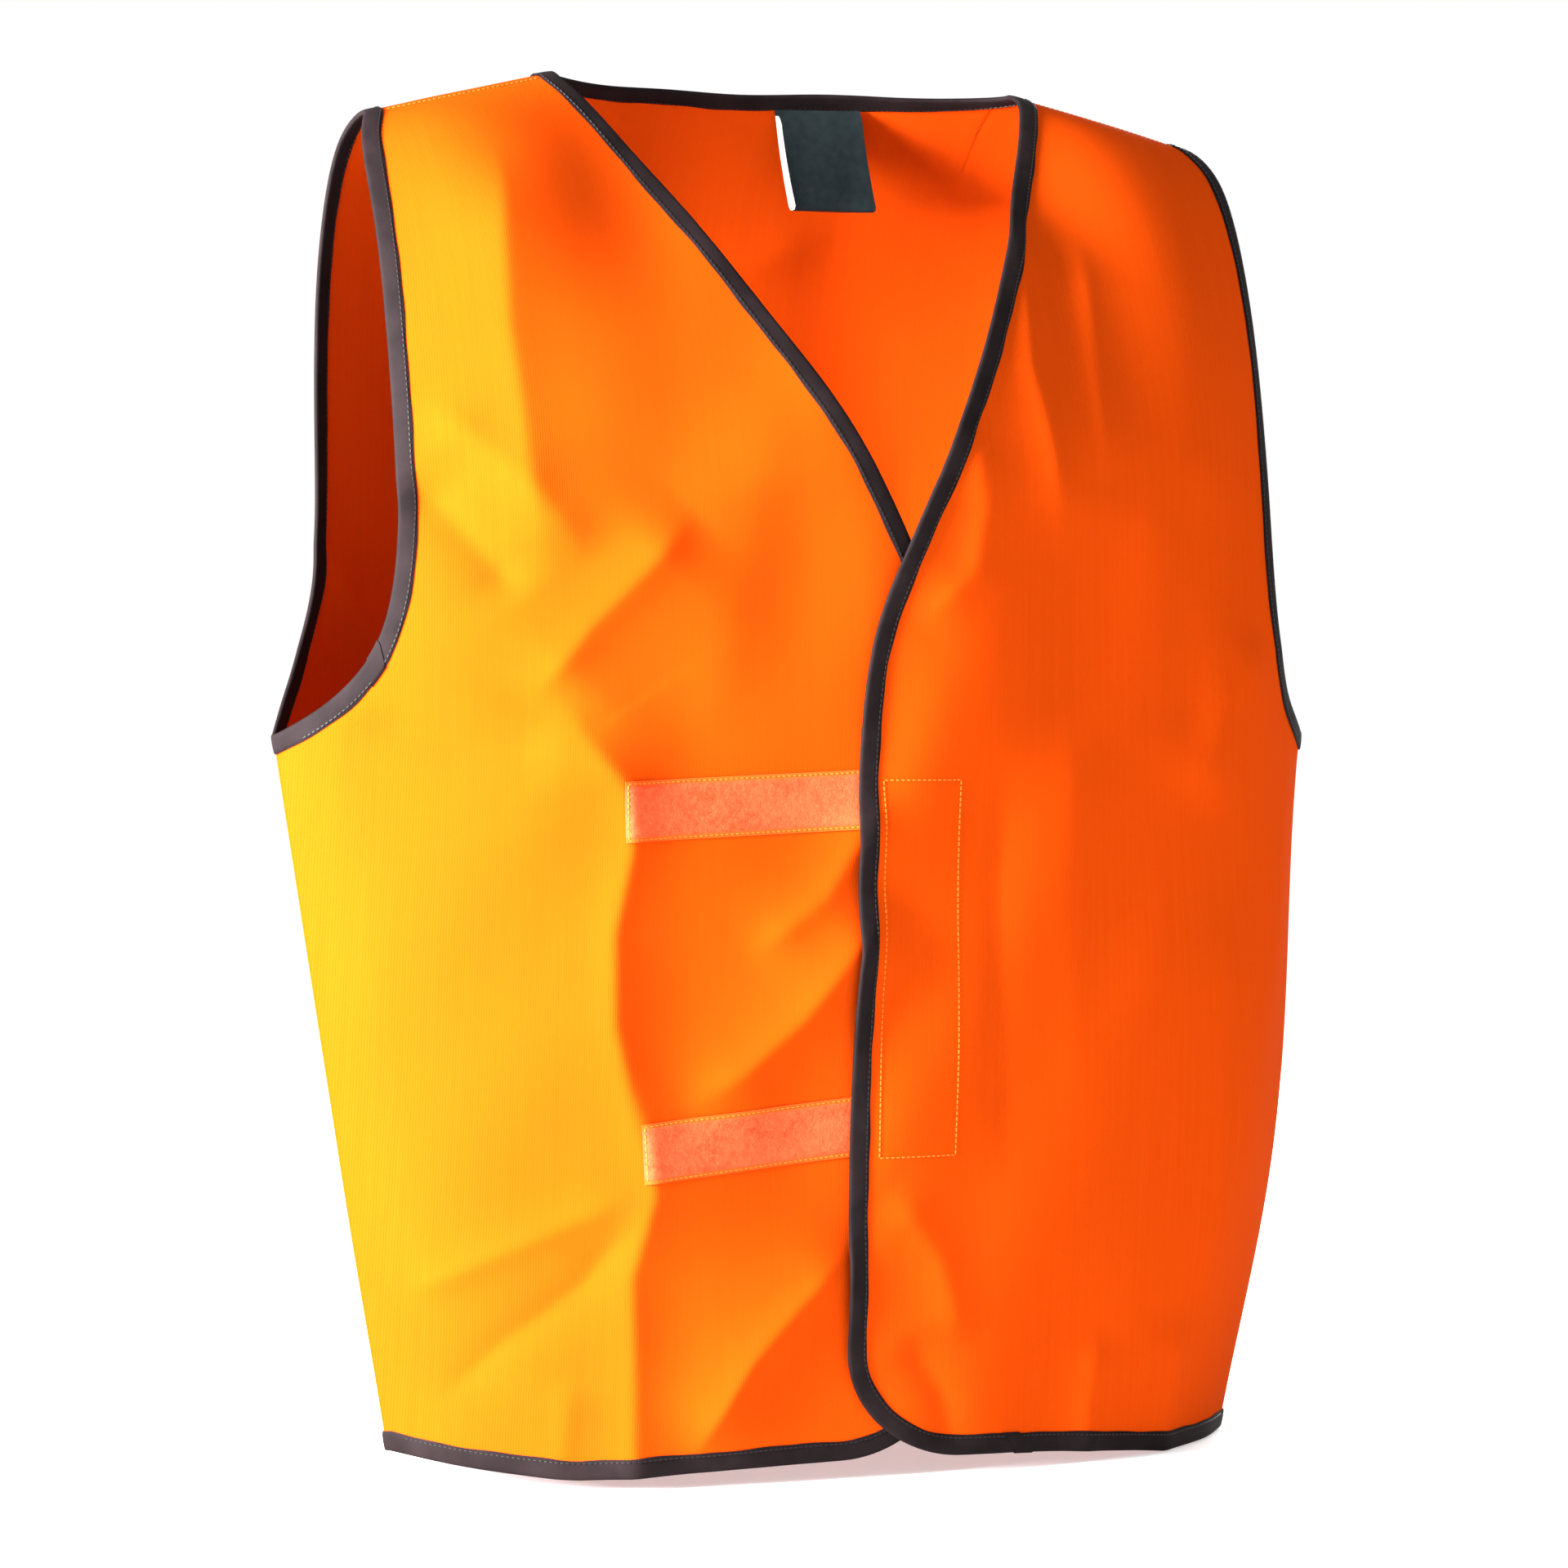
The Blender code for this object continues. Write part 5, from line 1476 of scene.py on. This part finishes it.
class VEST_OT_label(bpy.types.Operator):
    """Add the folded satin label under the back neckline"""

    bl_idname = "vest.label"
    bl_label = "Neck label"

    def execute(self, context):
        """Down the back ply, round a half circle and up the front ply, as a function of the length t and
        the place w across. The top is drawn to the lip of the neckline's tape and takes the dark face's
        colour on both sides, the corners curl forward as a square of w, and the label leans as it falls,
        the front ply a little more."""
        middle, along, forward = label_frame()
        half = LABEL_OPEN / 2
        low = LABEL_DROP + LABEL_BELOW - half
        length = 2 * low + math.pi * half
        t, w = np.meshgrid(np.linspace(0, length, 61), np.linspace(-0.5, 0.5, 21), indexing="ij")
        turn = np.clip((t - low) / half, 0.0, math.pi)
        bend = low + half * np.sin(turn)
        down = np.where(t < low, t, np.where(t < low + math.pi * half, bend, length - t))
        front = smooth((t - low) / (math.pi * half))
        share = np.clip(down / low, 0.0, 1.0)
        out = half * (1 - np.cos(turn)) - front * (1 - share) * (LABEL_OPEN - 0.0009)
        curl = LABEL_CURL * (2 * w) ** 2 * share**2 * (0.35 + 0.65 * (w < 0)) + LABEL_BELLY * share**2
        side = w * LABEL_WIDTH * TIGHT + LABEL_LEAN * share**1.3 + front * LABEL_FRONT_LEAN
        wave = LABEL_WAVE * np.sin(9 * w + 3.0 * share)
        forward_by = 0.0005 + out + curl + wave * share
        points = middle + along * side[..., None] + forward * forward_by[..., None]
        points = points - UP * (down - LABEL_BELOW)[..., None]

        line = below_neckline(LABEL_X + w[0] * LABEL_WIDTH * TIGHT, BINDING_WIDTH * 0.85)
        under = square_to(form, line[:, 0], line[:, 1])
        lip = form(line[:, 0], line[:, 1])[None] - under[None] * (0.0008 + 0.0004 * front[..., None])
        drawn = smooth(down / LABEL_DRAWN)[..., None]
        points = lip * (1 - drawn) + points * drawn
        by_t, by_w = np.gradient(points, axis=0), np.gradient(points, axis=1)
        normals = unit(np.cross(by_t, by_w))
        if (normals[0] @ forward).mean() > 0:
            normals = -normals
        uv = np.stack([w * LABEL_WIDTH, t], -1)
        finish = shared("vest_label", label_finish)
        piece = shell("neck_label_satin", points, normals, LABEL_HALF_THICK, uv, finish)
        outer_face = piece.data.attributes["outer_face"].data
        values = np.empty(2 * t.size, np.float32)
        outer_face.foreach_get("value", values)
        values.reshape(2, *t.shape)[:, [0, 1, 2, -3, -2, -1]] = 1.0
        outer_face.foreach_set("value", values)
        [Vector(middle + UP * height) for height in LABEL_BEND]
        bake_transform(piece)
        fill(["neck_label"])
        return {"FINISHED"}


class VEST_OT_declare_cloth(bpy.types.Operator):
    """Changes nothing in the scene"""

    bl_idname = "vest.declare_cloth"
    bl_label = "Declare cloth"

    def execute(self, context):
        return {"FINISHED"}


class VEST_OT_stage(bpy.types.Operator):
    """Add the floor, the light and the camera"""

    bl_idname = "vest.stage"
    bl_label = "Stage"

    def execute(self, context):
        """The floor is a flat slab, a grid of two parameters. Each light is a square that faces the
        vest's middle."""
        stage = context.scene.vest_stage
        reach, across = np.meshgrid(np.linspace(-1, 1, 41), np.linspace(-1, 1, 9), indexing="ij")
        points = np.stack([across * FLOOR_REACH, reach * FLOOR_REACH, np.full(reach.shape, FLOOR_Z)], -1)
        up = np.broadcast_to(UP, points.shape)
        finish = shared("vest_floor", floor_finish)
        floor = shell("floor", points - up * FLOOR_HALF, up, FLOOR_HALF, points[..., :2], finish)

        world = bpy.data.worlds.new("white_room")
        world.use_nodes = True
        room = world.node_tree.nodes["Background"]
        room.inputs["Color"].default_value = (1.0, 1.0, 1.0, 1.0)
        room.inputs["Strength"].default_value = stage.surround
        context.scene.world = world

        centre = Vector((0.0, 0.0, LIGHTS_AIM_Z))
        for name, towards, distance, size, power in (
            ("key", (-0.975, -0.120, 0.18), 2.4, stage.key_size, stage.key_power),
            ("back_key", (0.66, 0.72, 0.22), 3.0, stage.key_size, stage.key_power * BACK_KEY_SHARE),
        ):
            light = bpy.data.lights.new(name, "AREA")
            light.energy = power
            light.shape = "SQUARE"
            light.size = size
            holder = bpy.data.objects.new(name, light)
            direction = Vector(towards).normalized()
            holder.location = centre + direction * distance
            holder.rotation_euler = direction.to_track_quat("Z", "Y").to_euler()
            context.scene.collection.objects.link(holder)

        camera = bpy.data.objects.new("camera", bpy.data.cameras.new("camera"))
        camera.data.lens = stage.lens
        camera.data.sensor_width = 36.0
        back_by = stage.distance * math.cos(stage.azimuth)
        camera.location = (stage.distance * math.sin(stage.azimuth), RIDGE_Y - back_by, stage.height)
        camera.rotation_euler = (math.pi / 2 - stage.pitch, 0.0, stage.azimuth)
        context.scene.collection.objects.link(camera)
        context.scene.camera = camera
        context.scene.view_settings.view_transform = "Standard"
        return {"FINISHED"}


class VEST_PT_pieces(bpy.types.Panel):
    """The vest's sizes, colours and pieces"""

    bl_idname = "VEST_PT_pieces"
    bl_label = "Vest"
    bl_space_type = "VIEW_3D"
    bl_region_type = "UI"
    bl_category = "Vest"

    def draw(self, context):
        layout = self.layout
        for group in (context.scene.vest_cloth, context.scene.vest_trim, context.scene.vest_stage):
            column = layout.column(align=True)
            for name in group.__annotations__:
                column.prop(group, name)
        for operator in OPERATORS:
            layout.operator(operator.bl_idname)


OPERATORS = (
    VEST_OT_stage,
    VEST_OT_fronts,
    VEST_OT_back,
    VEST_OT_binding,
    VEST_OT_binding_stitches,
    VEST_OT_touch_tape,
    VEST_OT_orange_stitches,
    VEST_OT_seams,
    VEST_OT_label,
    VEST_OT_declare_cloth,
)
GROUPS = {"vest_cloth": VestCloth, "vest_trim": VestTrim, "vest_stage": VestStage}


def register():
    for made in (*GROUPS.values(), *OPERATORS, VEST_PT_pieces):
        bpy.utils.register_class(made)
    for name, group in GROUPS.items():
        setattr(bpy.types.Scene, name, PointerProperty(type=group))


def unregister():
    for name in GROUPS:
        delattr(bpy.types.Scene, name)
    for made in (VEST_PT_pieces, *OPERATORS[::-1], *GROUPS.values()):
        bpy.utils.unregister_class(made)


def main():
    register()
    bpy.ops.vest.stage()
    bpy.ops.vest.fronts()
    bpy.ops.vest.back()
    bpy.ops.vest.binding()
    bpy.ops.vest.binding_stitches()
    bpy.ops.vest.touch_tape()
    bpy.ops.vest.orange_stitches()
    bpy.ops.vest.seams()
    bpy.ops.vest.label()
    bpy.ops.vest.declare_cloth()


if __name__ == "__main__":
    main()
